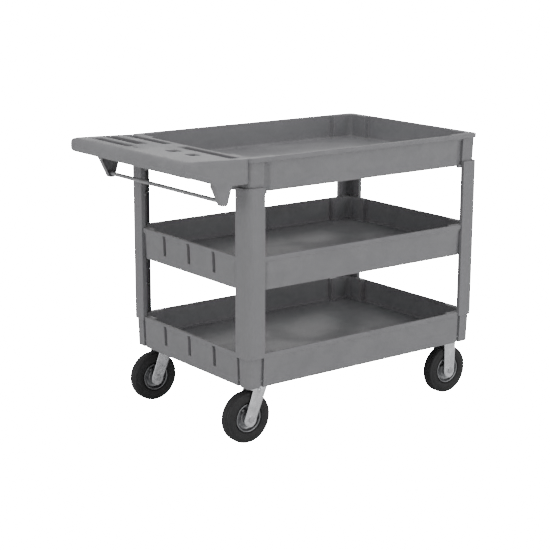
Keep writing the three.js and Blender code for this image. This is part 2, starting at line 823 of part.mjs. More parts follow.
function makeRim(axleX) {
  const bore = bearingDiameter / 2 + gap;
  const hub = hubDiameter / 2;
  const dish = rimSeatRadius - rimFlangeDepth;
  const halfDisc = rimDiscThickness / 2;
  const upper = [
    [bore, hubLength / 2],
    [hub, hubLength / 2],
    [hub, halfDisc],
    [dish, halfDisc],
    [dish, rimFlangeHalf],
    [rimSeatRadius, rimFlangeHalf],
  ];
  const lower = upper.map(([radius, y]) => [radius, -y]).reverse();
  return wheelRing([...upper, ...lower].reverse(), axleX, wheelFacets);
}

function makeHubBearing(axleX) {
  const outer = (bearingDiameter / 2) * Math.cos(Math.PI / roundFacets);
  const inner = axleDiameter / 2 + 2 * gap;
  const half = hubLength / 2;
  const profile = [
    [inner, -half],
    [outer, -half],
    [outer, half],
    [inner, half],
  ];
  return wheelRing(profile, axleX, roundFacets);
}

function makeCasterBolt(x, y) {
  const headTop = plateFoot - gap;
  const head = rod(boltHeadAcross / Math.sqrt(3), headTop - boltHeadHeight, headTop, 6);
  const shank = rod(boltDiameter / 2, headTop - boltHeadHeight / 2, casterHeight + boltBite, holeFacets);
  return head.add(shank).translate([x, y, 0]);
}

casterPlaces.forEach((place) => {
  const caster = new THREE.Group();
  caster.position.set(place.x, place.y, 0);
  shelves.add(caster);
  const axleX = place.swivels ? -casterTrail : 0;
  if (place.swivels) {
    piece(`caster_plate_${place.name}`, plateWithHoles(), zinc, caster);
    piece(`swivel_race_${place.name}`, makeRace(), zinc, caster);
    piece(`kingpin_${place.name}`, makeKingpin(), boltSteel, caster);
    piece(`swivel_fork_${place.name}`, swivelFork(), zinc, caster);
  } else {
    piece(`rigid_fork_${place.name}`, rigidFork(), zinc, caster);
  }
  piece(`axle_${place.name}`, makeAxle(axleX), boltSteel, caster);
  piece(`axle_nut_${place.name}`, makeAxleNut(axleX), boltSteel, caster);
  piece(`wheel_rim_${place.name}`, makeRim(axleX), wheelSteel, caster);
  piece(`tyre_${place.name}`, makeTyre(axleX), rubber, caster);
  piece(`hub_bearing_${place.name}`, makeHubBearing(axleX), boltSteel, caster);
  boltPlaces({ x: 0, y: 0 }).forEach(([x, y], index) => {
    piece(`caster_bolt_${place.name}_${index + 1}`, makeCasterBolt(x, y), boltSteel, caster);
  });
});

export default cart;
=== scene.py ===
"""Rolling utility cart: moulded trays, corner legs, handle deck and casters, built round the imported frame."""

import math

import bmesh
import bpy
from bpy.props import FloatProperty, FloatVectorProperty, IntProperty, PointerProperty
from mathutils import Matrix, Vector


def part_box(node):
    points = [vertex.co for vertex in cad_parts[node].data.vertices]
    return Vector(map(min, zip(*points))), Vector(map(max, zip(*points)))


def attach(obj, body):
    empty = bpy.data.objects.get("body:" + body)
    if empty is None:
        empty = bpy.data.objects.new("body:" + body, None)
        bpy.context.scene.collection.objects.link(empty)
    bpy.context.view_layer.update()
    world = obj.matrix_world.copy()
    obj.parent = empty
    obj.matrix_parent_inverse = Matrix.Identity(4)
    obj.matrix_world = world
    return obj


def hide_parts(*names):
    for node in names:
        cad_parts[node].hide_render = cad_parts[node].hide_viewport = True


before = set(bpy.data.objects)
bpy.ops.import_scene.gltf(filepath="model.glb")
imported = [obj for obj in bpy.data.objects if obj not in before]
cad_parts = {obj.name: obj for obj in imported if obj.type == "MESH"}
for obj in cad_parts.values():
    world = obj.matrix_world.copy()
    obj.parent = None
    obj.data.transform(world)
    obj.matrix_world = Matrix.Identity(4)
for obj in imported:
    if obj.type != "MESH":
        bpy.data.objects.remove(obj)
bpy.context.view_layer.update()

bl_info = {
    "name": "Rolling utility cart",
    "version": (1, 0, 0),
    "blender": (4, 5, 0),
    "location": "3D view > Sidebar > Cart",
    "description": "Builds the finish pieces of a moulded utility cart round its frame",
    "category": "Object",
}

MM = 0.001
FRAME_BODY = "cart_frame"
CORNERS = {"rear_right": (-1, -1), "rear_left": (-1, 1), "front_right": (1, -1), "front_left": (1, 1)}
REAR = ("rear_right", "rear_left")
UP, ACROSS = (0, 0, 1), (0, 1, 0)

# ---- Fixed values ------------------------------------------------------------------------------
GAP = 0.3 * MM  # between pieces that lie against each other
FAR_BELOW, FAR_ABOVE = -1.0, 9.0  # heights past every tray, for a leg that runs on
STRETCHED = 0.062  # the ends of a wall that give way when a ring is drawn in
# Least corner radius of a ring: outside, under the seat, inside, at the cove and round the field
TURN_OUT, TURN_UNDER, TURN_IN, TURN_COVE, TURN_FIELD = 0.004, 0.006, 0.016, 0.02, 0.024
SHARP_STEP = (-0.15 * MM, 0.15 * MM)  # the two rings either side of a leg's end
TAB_WIDE, TAB_THICK = 13 * MM, 10 * MM

# The rod bracket, measured from the rod's axis
BRACKET_FOOT, BRACKET_SIDE, BRACKET_TURN = 12 * MM, 13.5 * MM, 9 * MM
BRACKET_SHOULDER, BRACKET_FRONT, BRACKET_BACK = 56 * MM, 27 * MM, 36.5 * MM
BRACKET_WALL = 4.2 * MM
SKIRT_ABOVE_LEG = 15 * MM
# The curve from the bracket to the bar: back from the rod's axis, and up from the bracket's foot
CURVE_PULL, CURVE_END = (41 * MM, 70.5 * MM), (64.5 * MM, 76 * MM)
# Each trough: from and to behind the tray wall, its side, from and to across, depth; in millimetres
TROUGHS = (
    (12, 46, 1, 62, 280, 22),
    (12, 46, -1, 10, 275, 22),
    (78, 118, 1, 92, 285, 22),
    (142, 174, 1, 56, 262, 14),
    (84, 122, -1, 60, 98, 34),
    (84, 116, -1, 152, 190, 34),
    (148, 168, 1, 24, 40, 9),
)

SCREW_RUN, SCREW_RISES = 44 * MM, (91 * MM, 179 * MM)
FORK_DROP = 3 * MM  # a fork tip's centre below its axle
RIGID_INSIDE, RIGID_PLATE = 49 * MM, 4.5 * MM
PLATE_CORNER, PLATE_EDGE = 8 * MM, 0.9 * MM
WASHER = 5.3 * MM  # upper face of a caster bolt's washer above the bolt's lower end
RIVET_CIRCLE, RIVET_SEAT = 25.5 * MM, 5.7 * MM
SLEEVE_BORE, SLEEVE_OUTER = 5.3 * MM, 12.9 * MM

# The studio: strengths as the camera sees them and as they light the cart
FLOOR_GLOW, FLOOR_MIX = 50.0, 0.75
WORLD_LIGHT, WORLD_SEEN = 0.57, 50.0
SENSOR_WIDTH, CAMERA_SHIFT = 36.0, (0.00043, -0.00397)
# Each light: its name, place, target, width and height, and power
LIGHTS = (
    ("top light", (-0.2, -0.4, 3.4), (0.1, 0.0, 0.4), (3.2, 2.6), 30),
    ("left light", (-3.7, 0.2, 1.3), (0.0, 0.0, 0.5), (2.2, 1.8), 30),
    ("front light", (1.4, -4.4, 1.5), (0.1, 0.0, 0.4), (3.4, 2.4), 64),
    ("back light", (2.2, 3.7, 1.7), (0.0, 0.0, 0.5), (3.0, 1.8), 34),
)

# ---- Places read from the frame ----------------------------------------------------------------
MIDDLE_LOW, MIDDLE_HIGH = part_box("middle_shelf")
BOTTOM_LOW, BOTTOM_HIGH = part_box("bottom_shelf")
TOP_LOW, TOP_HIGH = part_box("top_tray")
ROD_LOW, ROD_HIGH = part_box("brace_rod")
LEG_LOW, LEG_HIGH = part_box("leg_front_left")
TRAY_X = (MIDDLE_LOW.x + MIDDLE_HIGH.x) / 2


# ---- Settings ----------------------------------------------------------------------------------
def length(name, words, millimetres):
    return FloatProperty(
        name=name, description=words, default=millimetres * MM, min=0.0, unit="LENGTH", subtype="DISTANCE"
    )


def colour(name, words, value):
    return FloatVectorProperty(
        name=name, description=words, default=value, size=3, min=0.0, max=1.0, subtype="COLOR"
    )


def share(name, words, value):
    return FloatProperty(name=name, description=words, default=value, min=0.0, max=1.0, subtype="FACTOR")


class CartTraySettings(bpy.types.PropertyGroup):
    wall: length("Wall", "Thickness of a tray wall", 5)
    draft: length("Draft", "How far a wall leans out over its height", 3.5)
    corner: length("Corner radius", "Plan radius of a tray's corners at its lower edge", 13)
    shelf_rim_proud: length("Shelf rim", "How far a shelf's rim stands off its wall", 1.5)
    top_rim_proud: length("Top rim", "How far the top tray's rim stands off its wall", 6.1)
    rim_height: length("Rim height", "Height of the rim band", 14)
    rim_round: length("Rim rounding", "Rounding of the rim's upper outer edge", 2.6)
    floor_height: length("Floor height", "Floor above the wall's lower edge", 20)
    bottom_floor: length("Bottom floor height", "Bottom tray's floor above its wall's lower edge", 24)
    floor_thickness: length("Floor thickness", "Thickness of a tray floor", 5)
    field_rise: length("Field rise", "Raised middle of a tray floor", 1.6)
    gutter: length("Gutter", "Width of the lower channel round the raised field", 30)
    cove: length("Cove", "Inside radius between a wall and the floor", 8)
    seat: length("Corner seat", "Thickness of the seat behind each leg", 17)
    seat_run: length("Seat run", "How far a corner seat runs along the wall", 92.5)
    under_seat: length("Seat under the floor", "Thickness of the seat below the floor", 11)
    relief: length("Corner recess", "Depth of the swept recess beside a corner", 9)
    relief_run: length("Recess run", "Length of the swept recess beside a corner", 24)
    pad_groove: length("Pad groove", "Width of the groove beside a corner pad of the bottom tray", 11)
    pad_groove_depth: length("Pad groove depth", "Depth of the groove beside a corner pad", 7)
    tab_drop: length("Corner tab", "How far the top tray's corner tabs hang below its wall", 7)
    top_depth: length("Top tray depth", "Height of the top tray's wall", 99)
    groove_width: length("Groove width", "Width of a groove pressed into an end wall", 13)
    groove_depth: length("Groove depth", "Depth of a groove pressed into an end wall", 12)
    groove_pitch: length("Groove pitch", "Spacing of the grooves", 131)
    groove_foot: length("Groove foot", "Lower end of a groove above the floor", 8.5)
    groove_head: length("Groove head", "Upper end of a groove below the rim", 8.5)


class CartLegSettings(bpy.types.PropertyGroup):
    proud: length("Proud", "How far a leg stands off the walls' lower edge", 9.6)
    depth: length("Depth", "Depth of each arm of a leg", 14)
    skin: length("Skin", "Thickness of a leg's outer skin", 4)
    edge: length("Edge rounding", "Rounding of a leg's edges", 1.6)
    ribs: IntProperty(name="Ribs", description="Cross ribs inside a leg", default=6, min=2, max=20)
    screw: length("Screw head", "Diameter of the screw heads inside a leg", 9)


class CartHandleSettings(bpy.types.PropertyGroup):
    rise: length("Rise", "Bar's top above the tray rim", 8)
    bar_height: length("Bar height", "Height of the handle bar", 45)
    bar_depth: length("Bar depth", "Depth of the handle bar", 40)
    neck: length("Neck", "Run over which the handle swells out", 14)
    stand_out: length("Stand out", "Handle's sides beyond the tray's sides", 7)
    corner: length("Corner", "Plan radius at the ends of the bar", 13)
    edge: length("Side edges", "Rounding of the deck's long upper edges and the bar's ends", 13)
    deck: length("Deck", "Thickness of the deck", 4.5)
    skirt: length("Skirt", "Thickness of the skirts and brackets", 5)
    flange: length("Bracket flange", "Depth of the flange round a bracket's inside", 20)
    grain_size: length("Smoothing size", "Cell size used to blend the handle's edges", 2.1)


class CartCasterSettings(bpy.types.PropertyGroup):
    sheet: length("Fork sheet", "Thickness of the pressed forks", 3.2)
    tip: length("Fork tip", "Radius of a fork's tip round the axle", 22)
    top: length("Fork top", "Half width of a fork leg at its top", 24)
    bend: length("Fork bend", "Radius of the bend between crown and leg", 7)
    seat: length("Rim seat", "Radius where the tyre sits on the rim", 44)
    ring_depth: length("Tyre rings", "Depth of the fine rings on a tyre's side", 0.45)
    segments: IntProperty(name="Segments", description="Steps round a wheel", default=96, min=24, max=256)


class CartFinishSettings(bpy.types.PropertyGroup):
    tray_light: colour("Tray light", "Lighter tone of the tray plastic", (0.255, 0.255, 0.265))
    tray_dark: colour("Tray dark", "Darker tone of the tray plastic", (0.185, 0.185, 0.195))
    rubber: colour("Rubber", "Tyre rubber", (0.02, 0.02, 0.021))
    zinc: colour("Zinc", "Bright zinc plating", (0.8, 0.805, 0.83))
    # The wheel disc's tone is partly the discs' duller plating and partly painted shade: it is set dark for the
    # shadow that the fork and the rolled lip cast into the dish.
    disc: colour("Wheel disc", "Plating of the wheel discs, darkened as painted shade in the dish", (0.3, 0.305, 0.315))
    wear: share("Edge wear", "How strongly edges are rubbed lighter", 0.35)
    dust: share("Dust", "How much dust lies on upward faces", 0.25)


class CartStudioSettings(bpy.types.PropertyGroup):
    lens: FloatProperty(
        name="Lens", description="Focal length of the camera", default=94.71, unit="CAMERA", min=20.0
    )
    azimuth: FloatProperty(
        name="Azimuth", description="Camera azimuth", default=math.radians(-37.378), subtype="ANGLE"
    )
    elevation: FloatProperty(
        name="Elevation", description="Camera elevation", default=math.radians(13.529), subtype="ANGLE"
    )
    roll: FloatProperty(name="Roll", description="Camera roll", default=math.radians(0.22), subtype="ANGLE")
    place: FloatVectorProperty(
        name="Place", description="Camera position", default=(-2.695, -3.5043, 1.4822), subtype="TRANSLATION"
    )
    floor_tone: colour("Floor", "Pale studio floor", (0.86, 0.86, 0.86))


# ---- Mesh helpers ------------------------------------------------------------------------------
class Shell:
    """Points and faces gathered for one piece, from closed bodies."""

    def __init__(self):
        self.points = []
        self.faces = []

    def loft(self, rings, capped=True, wrapped=False):
        """Joins rings of equal count; its ends are capped, or joined to each other."""
        base = len(self.points)
        count = len(rings[0])
        for ring in rings:
            self.points.extend(ring)
        rows = len(rings)
        for row in range(rows if wrapped else rows - 1):
            above = (row + 1) % rows
            for k in range(count):
                nxt = (k + 1) % count
                quad = (base + row * count + k, base + row * count + nxt)
                self.faces.append(quad + (base + above * count + nxt, base + above * count + k))
        if capped and not wrapped:
            self.faces.append(tuple(range(base + count - 1, base - 1, -1)))
            last = base + (rows - 1) * count
            self.faces.append(tuple(range(last, last + count)))

    def extrude(self, outline, place, low, high):
        """A flat outline given thickness; place turns its two values and a depth into a point."""
        self.loft([[place(u, v, low) for u, v in outline], [place(u, v, high) for u, v in outline]])

    def lathe(self, profile, centre, axis, steps, closed=False):
        """Turns (radius, along) points about an axis through centre; closed profiles make a ring."""
        along = Vector(axis).normalized()
        side = along.orthogonal().normalized()
        other = along.cross(side)
        rings = []
        for step in range(steps):
            angle = 2 * math.pi * step / steps
            out = side * math.cos(angle) + other * math.sin(angle)
            rings.append([Vector(centre) + out * r + along * h for r, h in profile])
        rows = [[ring[i] for ring in rings] for i in range(len(profile))]
        self.loft(rows, capped=not closed, wrapped=closed)

    def rounded_box(self, low, high, plan_radius, edge):
        """An upright block with round plan corners and rounded upper and lower edges."""
        centre = (Vector(low) + Vector(high)) / 2
        half = (Vector(high) - Vector(low)) / 2
        rings = []
        for share_, rise in ((1, 0), (0.35, 0.3), (0, 1)):
            rings.append((low[2] + edge * rise, edge * share_))
        for share_, rise in ((0, 1), (0.35, 0.3), (1, 0)):
            rings.append((high[2] - edge * rise, edge * share_))
        loops = []
        for z, inset in rings:
            outline = rounded_rectangle(half.x - inset, half.y - inset, max(plan_radius - inset, edge / 4))
            loops.append([Vector((centre.x + x, centre.y + y, z)) for x, y in outline])
        self.loft(loops)

    def hexagon(self, across, centre, axis, low, high, crown=0.12):
        """A hexagonal head with a turned chamfer on its upper end."""
        along = Vector(axis).normalized()
        side = along.orthogonal().normalized()
        other = along.cross(side)
        radius = across / math.sqrt(3)
        steps = 24
        rings = []
        tall = high - low
        for at, chamfer in ((0, 0.0), (1 - crown, 0.0), (1, 0.1)):
            ring = []
            for step in range(steps):
                angle = 2 * math.pi * step / steps
                turn = (angle + math.pi / 6) % (math.pi / 3) - math.pi / 6
                flat = across / 2 / math.cos(turn)
                reach = min(flat, radius * (1 - chamfer)) * (1 - chamfer / 4)
                out = side * math.cos(angle) + other * math.sin(angle)
                ring.append(Vector(centre) + out * reach + along * (low + tall * at))
            rings.append(ring)
        self.loft(rings)

    def mesh(self, name):
        data = bpy.data.meshes.new(name)
        data.from_pydata([tuple(p) for p in self.points], [], self.faces)
        shape = bmesh.new()
        shape.from_mesh(data)
        bmesh.ops.remove_doubles(shape, verts=shape.verts, dist=1e-6)
        bmesh.ops.dissolve_degenerate(shape, edges=shape.edges, dist=1e-6)
        bmesh.ops.recalc_face_normals(shape, faces=shape.faces)
        shape.to_mesh(data)
        shape.free()
        return data


def arc(centre_u, centre_v, radius, start, stop, steps):
    """Points on an arc, with angles in degrees."""
    points = []
    for i in range(steps + 1):
        angle = math.radians(start + (stop - start) * i / steps)
        points.append((centre_u + radius * math.cos(angle), centre_v + radius * math.sin(angle)))
    return points


def quarter(radius, turns):
    """(drop, run) round a quarter of a circle, with angles in degrees."""
    for turn in turns:
        angle = math.radians(turn)
        yield radius * (1 - math.sin(angle)), radius * (1 - math.cos(angle))


def rounded_rectangle(half_u, half_v, radius, steps=4):
    points = []
    for i, (su, sv) in enumerate(((1, 1), (-1, 1), (-1, -1), (1, -1))):
        points += arc(su * (half_u - radius), sv * (half_v - radius), radius, 90 * i, 90 * i + 90, steps)
    return points


def mirrored(profile):
    """Half a turned section, and its mirror image along the axis."""
    return profile + [(r, -h) for r, h in reversed(profile)]


def foot_of(low, high):
    """The middle of a box's lower face."""
    return Vector(((low.x + high.x) / 2, (low.y + high.y) / 2, low.z))


def slab(outline, axis, low, high):
    """A flat outline given thickness along one axis, as a mesh."""
    places = {
        "x": lambda u, v, w: Vector((w, u, v)),
        "y": lambda u, v, w: Vector((u, w, v)),
        "z": lambda u, v, w: Vector((u, v, w)),
    }
    shell = Shell()
    shell.extrude(outline, places[axis], low, high)
    return shell.mesh("work")


def object_from(mesh, name, material, sharp=38):
    piece = bpy.data.objects.new(name, mesh)
    bpy.context.scene.collection.objects.link(piece)
    mesh.materials.append(material)
    mesh.shade_smooth()
    mesh.set_sharp_from_angle(angle=math.radians(sharp))
    return piece


def finish_piece(piece, body, slot, *nodes):
    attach(piece, body)
    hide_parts(*nodes)
    return piece


def add_piece(shell, name, finish, body, slot, node, sharp=38):
    """Turns a shell into a finished piece that rides on a body and replaces a node."""
    return finish_piece(object_from(shell.mesh(name), name, material(finish), sharp), body, slot, node)


def bevelled(piece, width, segments=2, angle=40):
    """Rounds a piece's edges, and keeps its flat faces flat to the light."""
    edge = piece.modifiers.new("Rounded edges", "BEVEL")
    edge.width = width
    edge.segments = segments
    edge.limit_method = "ANGLE"
    edge.angle_limit = math.radians(angle)
    edge.harden_normals = False
    flat = piece.modifiers.new("Flat faces", "WEIGHTED_NORMAL")
    flat.keep_sharp = True
    return piece


def combined(first, tool, how):
    """The mesh that a Boolean of two meshes leaves."""
    body = bpy.data.objects.new("work body", first)
    cutter = bpy.data.objects.new("work tool", tool)
    for work in (body, cutter):
        bpy.context.scene.collection.objects.link(work)
    join = body.modifiers.new("Join", "BOOLEAN")
    join.operation = how
    join.solver = "EXACT"
    join.object = cutter
    graph = bpy.context.evaluated_depsgraph_get()
    made = bpy.data.meshes.new_from_object(body.evaluated_get(graph))
    for work in (body, cutter):
        bpy.data.objects.remove(work)
    if not made.polygons:
        raise RuntimeError(f"the {how.lower()} left nothing")
    return made


def blended(mesh, cell, rounds):
    """Remeshes a body in small cells and eases its edges, as a moulding's are."""
    body = bpy.data.objects.new("work body", mesh)
    bpy.context.scene.collection.objects.link(body)
    cells = body.modifiers.new("Cells", "REMESH")
    cells.mode = "VOXEL"
    cells.voxel_size = cell
    ease = body.modifiers.new("Ease", "SMOOTH")
    ease.factor = 0.5
    ease.iterations = rounds
    graph = bpy.context.evaluated_depsgraph_get()
    made = bpy.data.meshes.new_from_object(body.evaluated_get(graph))
    bpy.data.objects.remove(body)
    if not made.polygons:
        raise RuntimeError("the remesh left nothing")
    return made


def smooth_step(value, low, high):
    if high == low:
        return float(value >= high)
    t = min(1.0, max(0.0, (value - low) / (high - low)))
    return t * t * (3 - 2 * t)


# ---- Shader node groups ------------------------------------------------------------------------
class Nodes:
    """A short way to add nodes to one tree and to join them."""

    def __init__(self, tree):
        self.tree = tree
        tree.nodes.clear()

    def add(self, kind, **values):
        node = self.tree.nodes.new(kind)
        for key, value in values.items():
            setattr(node, key, value)
        return node

    def link(self, source, target):
        self.tree.links.new(source, target)

    def math(self, operation, first, second=0.5, clamp=False):
        node = self.add("ShaderNodeMath", operation=operation, use_clamp=clamp)
        for socket, value in zip(node.inputs, (first, second)):
            if isinstance(value, (int, float)):
                socket.default_value = value
            else:
                self.link(value, socket)
        return node.outputs[0]

    def times(self, first, second):
        return self.math("MULTIPLY", first, second)

    def object_space(self):
        return self.add("ShaderNodeTexCoord").outputs["Object"]

    def ramp(self, value, low, high, low_out=0.0, high_out=1.0):
        node = self.add("ShaderNodeMapRange", interpolation_type="SMOOTHSTEP", clamp=True)
        self.link(value, node.inputs["Value"])
        for key, number in zip(("From Min", "From Max", "To Min", "To Max"), (low, high, low_out, high_out)):
            node.inputs[key].default_value = number
        return node.outputs["Result"]

    def noise(self, vector, scale, detail=3.0, roughness=0.5, distortion=0.0):
        node = self.add("ShaderNodeTexNoise")
        self.link(vector, node.inputs["Vector"])
        if isinstance(scale, (int, float)):
            node.inputs["Scale"].default_value = scale
        else:
            self.link(scale, node.inputs["Scale"])
        node.inputs["Detail"].default_value = detail
        node.inputs["Roughness"].default_value = roughness
        node.inputs["Distortion"].default_value = distortion
        return node.outputs["Fac"]

    def mix(self, factor, first, second):
        node = self.add("ShaderNodeMix", data_type="RGBA")
        sockets = {0: node.inputs[0], 6: node.inputs[6], 7: node.inputs[7]}
        for index, value in ((0, factor), (6, first), (7, second)):
            if isinstance(value, (int, float)):
                sockets[index].default_value = value
            elif isinstance(value, tuple):
                sockets[index].default_value = (*value, 1.0)
            else:
                self.link(value, sockets[index])
        return node.outputs[2]


def new_group(name, inputs, outputs):
    """A shader group with named value or colour sockets; returns its nodes and both ends."""
    tree = bpy.data.node_groups.new(name, "ShaderNodeTree")
    for label, kind, default in inputs:
        socket = tree.interface.new_socket(name=label, in_out="INPUT", socket_type=kind)
        socket.default_value = default
    for label, kind in outputs:
        tree.interface.new_socket(name=label, in_out="OUTPUT", socket_type=kind)
    nodes = Nodes(tree)
    return tree, nodes, nodes.add("NodeGroupInput"), nodes.add("NodeGroupOutput")


FLOAT = "NodeSocketFloat"


def edge_wear_group():
    """A mask of the rubbed edges, broken up by noise."""
    inputs = [("Radius", FLOAT, 0.003), ("Amount", FLOAT, 0.5), ("Breakup", FLOAT, 60.0)]
    tree, n, start, end = new_group("Edge wear", inputs, [("Mask", FLOAT)])
    bevel = n.add("ShaderNodeBevel", samples=4)
    n.link(start.outputs["Radius"], bevel.inputs["Radius"])
    geometry = n.add("ShaderNodeNewGeometry")
    dot = n.add("ShaderNodeVectorMath", operation="DOT_PRODUCT")
    n.link(bevel.outputs[0], dot.inputs[0])
    n.link(geometry.outputs["Normal"], dot.inputs[1])
    edge = n.ramp(dot.outputs["Value"], 0.995, 0.86)
    coordinates = n.object_space()
    broken = n.ramp(n.noise(coordinates, start.outputs["Breakup"], 4.0), 0.35, 0.7)
    n.link(n.times(n.times(edge, broken), start.outputs["Amount"]), end.inputs["Mask"])
    return tree


def swirl_group():
    """The faint flow marks of structural foam, long in one direction and cloudy across; in the tray plastic its
    lighter patches are also a painted soft sheen on the floors.
    """
    inputs = [("Scale", FLOAT, 6.0), ("Contrast", FLOAT, 0.5)]
    tree, n, start, end = new_group("Foam swirl", inputs, [("Mask", FLOAT), ("Cloud", FLOAT)])
    coordinates = n.object_space()
    stretch = n.add("ShaderNodeMapping")
    stretch.inputs["Scale"].default_value = (0.55, 1.0, 1.0)
    stretch.inputs["Rotation"].default_value = (0.0, 0.0, 0.5)
    n.link(coordinates, stretch.inputs["Vector"])
    fine = n.noise(stretch.outputs[0], n.times(start.outputs["Scale"], 5.0), 5.0, 0.55, 0.9)
    broad = n.noise(coordinates, start.outputs["Scale"], 3.0, 0.5, 0.6)
    both = n.math("ADD", n.times(fine, 0.45), n.times(broad, 0.55))
    centred = n.times(n.math("SUBTRACT", n.ramp(both, 0.3, 0.7), 0.5), start.outputs["Contrast"])
    n.link(n.math("ADD", centred, 0.5, clamp=True), end.inputs["Mask"])
    n.link(n.ramp(broad, 0.35, 0.65), end.inputs["Cloud"])
    return tree


def grain_group():
    """The fine pebbled skin of a moulding: a height for a bump."""
    inputs = [("Scale", FLOAT, 900.0), ("Coarse", FLOAT, 0.35)]
    tree, n, start, end = new_group("Moulded grain", inputs, [("Height", FLOAT)])
    coordinates = n.object_space()
    fine = n.noise(coordinates, start.outputs["Scale"], 2.0)
    coarse_scale = n.times(start.outputs["Scale"], 0.2)
    coarse = n.noise(coordinates, coarse_scale, 2.0)
    n.link(n.math("ADD", fine, n.times(coarse, start.outputs["Coarse"])), end.inputs["Height"])
    return tree


def dust_group():
    """Settled dust: thicker on faces that look up, in soft patches."""
    inputs = [("Amount", FLOAT, 0.3), ("Scale", FLOAT, 9.0)]
    tree, n, start, end = new_group("Settled dust", inputs, [("Mask", FLOAT)])
    geometry = n.add("ShaderNodeNewGeometry")
    parts = n.add("ShaderNodeSeparateXYZ")
    n.link(geometry.outputs["Normal"], parts.inputs[0])
    up = n.ramp(parts.outputs["Z"], 0.55, 0.98)
    coordinates = n.object_space()
    patch = n.ramp(n.noise(coordinates, start.outputs["Scale"], 5.0, 0.6, 0.4), 0.38, 0.72)
    n.link(n.times(n.times(up, patch), start.outputs["Amount"]), end.inputs["Mask"])
    return tree


def scratch_group():
    """Fine rubbed lines and cloudy patches of plated steel."""
    inputs = [("Scale", FLOAT, 40.0), ("Stretch", FLOAT, 14.0)]
    tree, n, start, end = new_group("Plating marks", inputs, [("Lines", FLOAT), ("Cloud", FLOAT)])
    coordinates = n.object_space()
    stretch = n.add("ShaderNodeMapping")
    stretch.inputs["Rotation"].default_value = (0.4, 0.9, 0.2)
    spread = n.add("ShaderNodeCombineXYZ")
    n.link(start.outputs["Stretch"], spread.inputs["X"])
    spread.inputs["Y"].default_value = 1.0
    n.link(start.outputs["Stretch"], spread.inputs["Z"])
    n.link(spread.outputs[0], stretch.inputs["Scale"])
    n.link(coordinates, stretch.inputs["Vector"])
    lines = n.noise(stretch.outputs[0], start.outputs["Scale"], 4.0, 0.6)
    n.link(n.ramp(lines, 0.35, 0.65), end.inputs["Lines"])
    cloud = n.noise(coordinates, start.outputs["Scale"], 4.0, 0.6, 0.5)
    n.link(n.ramp(cloud, 0.3, 0.7), end.inputs["Cloud"])
    return tree


GROUPS = {}


def group(nodes, name, **values):
    """Places one of the shared groups in a material, with its own values."""
    makers = {
        "wear": edge_wear_group,
        "swirl": swirl_group,
        "grain": grain_group,
        "dust": dust_group,
        "plating": scratch_group,
    }
    if name not in GROUPS:
        GROUPS[name] = makers[name]()
    node = nodes.add("ShaderNodeGroup", node_tree=GROUPS[name])
    for key, value in values.items():
        node.inputs[key].default_value = value
    return node


# ---- Materials ---------------------------------------------------------------------------------
def new_material(name):
    material = bpy.data.materials.new(name)
    material.use_nodes = True
    nodes = Nodes(material.node_tree)
    shader = nodes.add("ShaderNodeBsdfPrincipled")
    output = nodes.add("ShaderNodeOutputMaterial")
    nodes.link(shader.outputs[0], output.inputs["Surface"])
    return material, nodes, shader


def add_bump(nodes, shader, height, distance, strength=1.0):
    bump = nodes.add("ShaderNodeBump")
    bump.inputs["Distance"].default_value = distance
    bump.inputs["Strength"].default_value = strength
    nodes.link(height, bump.inputs["Height"])
    nodes.link(bump.outputs[0], shader.inputs["Normal"])


def tinted(tone, by):
    return tuple(min(1.0, c * by) for c in tone)


def moulded_plastic(name, light, dark, finish, flow_mark_and_sheen_contrast, wear, dust):
    """Grey structural foam: flow marks, which in the tray plastic also paint a mottled sheen on the floors, a
    pebbled skin, rubbed edges and a little settled dust.
    """
    material, n, shader = new_material(name)
    swirl = group(n, "swirl", Scale=5.0, Contrast=flow_mark_and_sheen_contrast)
    # Flow-mark tone; at the trays' higher contrast its lighter patches are also painted sheen.
    tone = n.mix(swirl.outputs["Mask"], tuple(dark), tuple(light))
    rubbed = group(n, "wear", Radius=0.0028, Amount=wear, Breakup=70.0)
    tone = n.mix(rubbed.outputs["Mask"], tone, tinted(light, 1.65))
    settled = group(n, "dust", Amount=dust, Scale=8.0)
    tone = n.mix(settled.outputs["Mask"], tone, tinted(light, 1.35))
    n.link(tone, shader.inputs["Base Color"])
    gloss = n.ramp(swirl.outputs["Cloud"], 0.0, 1.0, finish - 0.07, finish + 0.07)
    dull = n.math("ADD", gloss, n.times(settled.outputs["Mask"], 0.25), clamp=True)
    n.link(dull, shader.inputs["Roughness"])
    shader.inputs["Specular IOR Level"].default_value = 0.42
    grain = group(n, "grain", Scale=750.0, Coarse=0.6)
    add_bump(n, shader, grain.outputs["Height"], 0.00035, 0.55)
    return material


def plated_steel(name, tone, roughness, spread, lines, metal=1.0):
    """Zinc-plated pressed steel with faint rubbed lines and duller patches."""
    material, n, shader = new_material(name)
    marks = group(n, "plating", Scale=38.0, Stretch=lines)
    shade = n.mix(marks.outputs["Cloud"], tinted(tone, 0.8), tinted(tone, 1.08))
    rubbed = group(n, "wear", Radius=0.0012, Amount=0.5, Breakup=180.0)
    n.link(n.mix(rubbed.outputs["Mask"], shade, tinted(tone, 1.25)), shader.inputs["Base Color"])
    shader.inputs["Metallic"].default_value = metal
    rough = n.ramp(marks.outputs["Lines"], 0.0, 1.0, roughness - spread, roughness + spread)
    n.link(rough, shader.inputs["Roughness"])
    grain = group(n, "grain", Scale=420.0, Coarse=0.8)
    add_bump(n, shader, grain.outputs["Height"], 0.0002, 0.5)
    return material


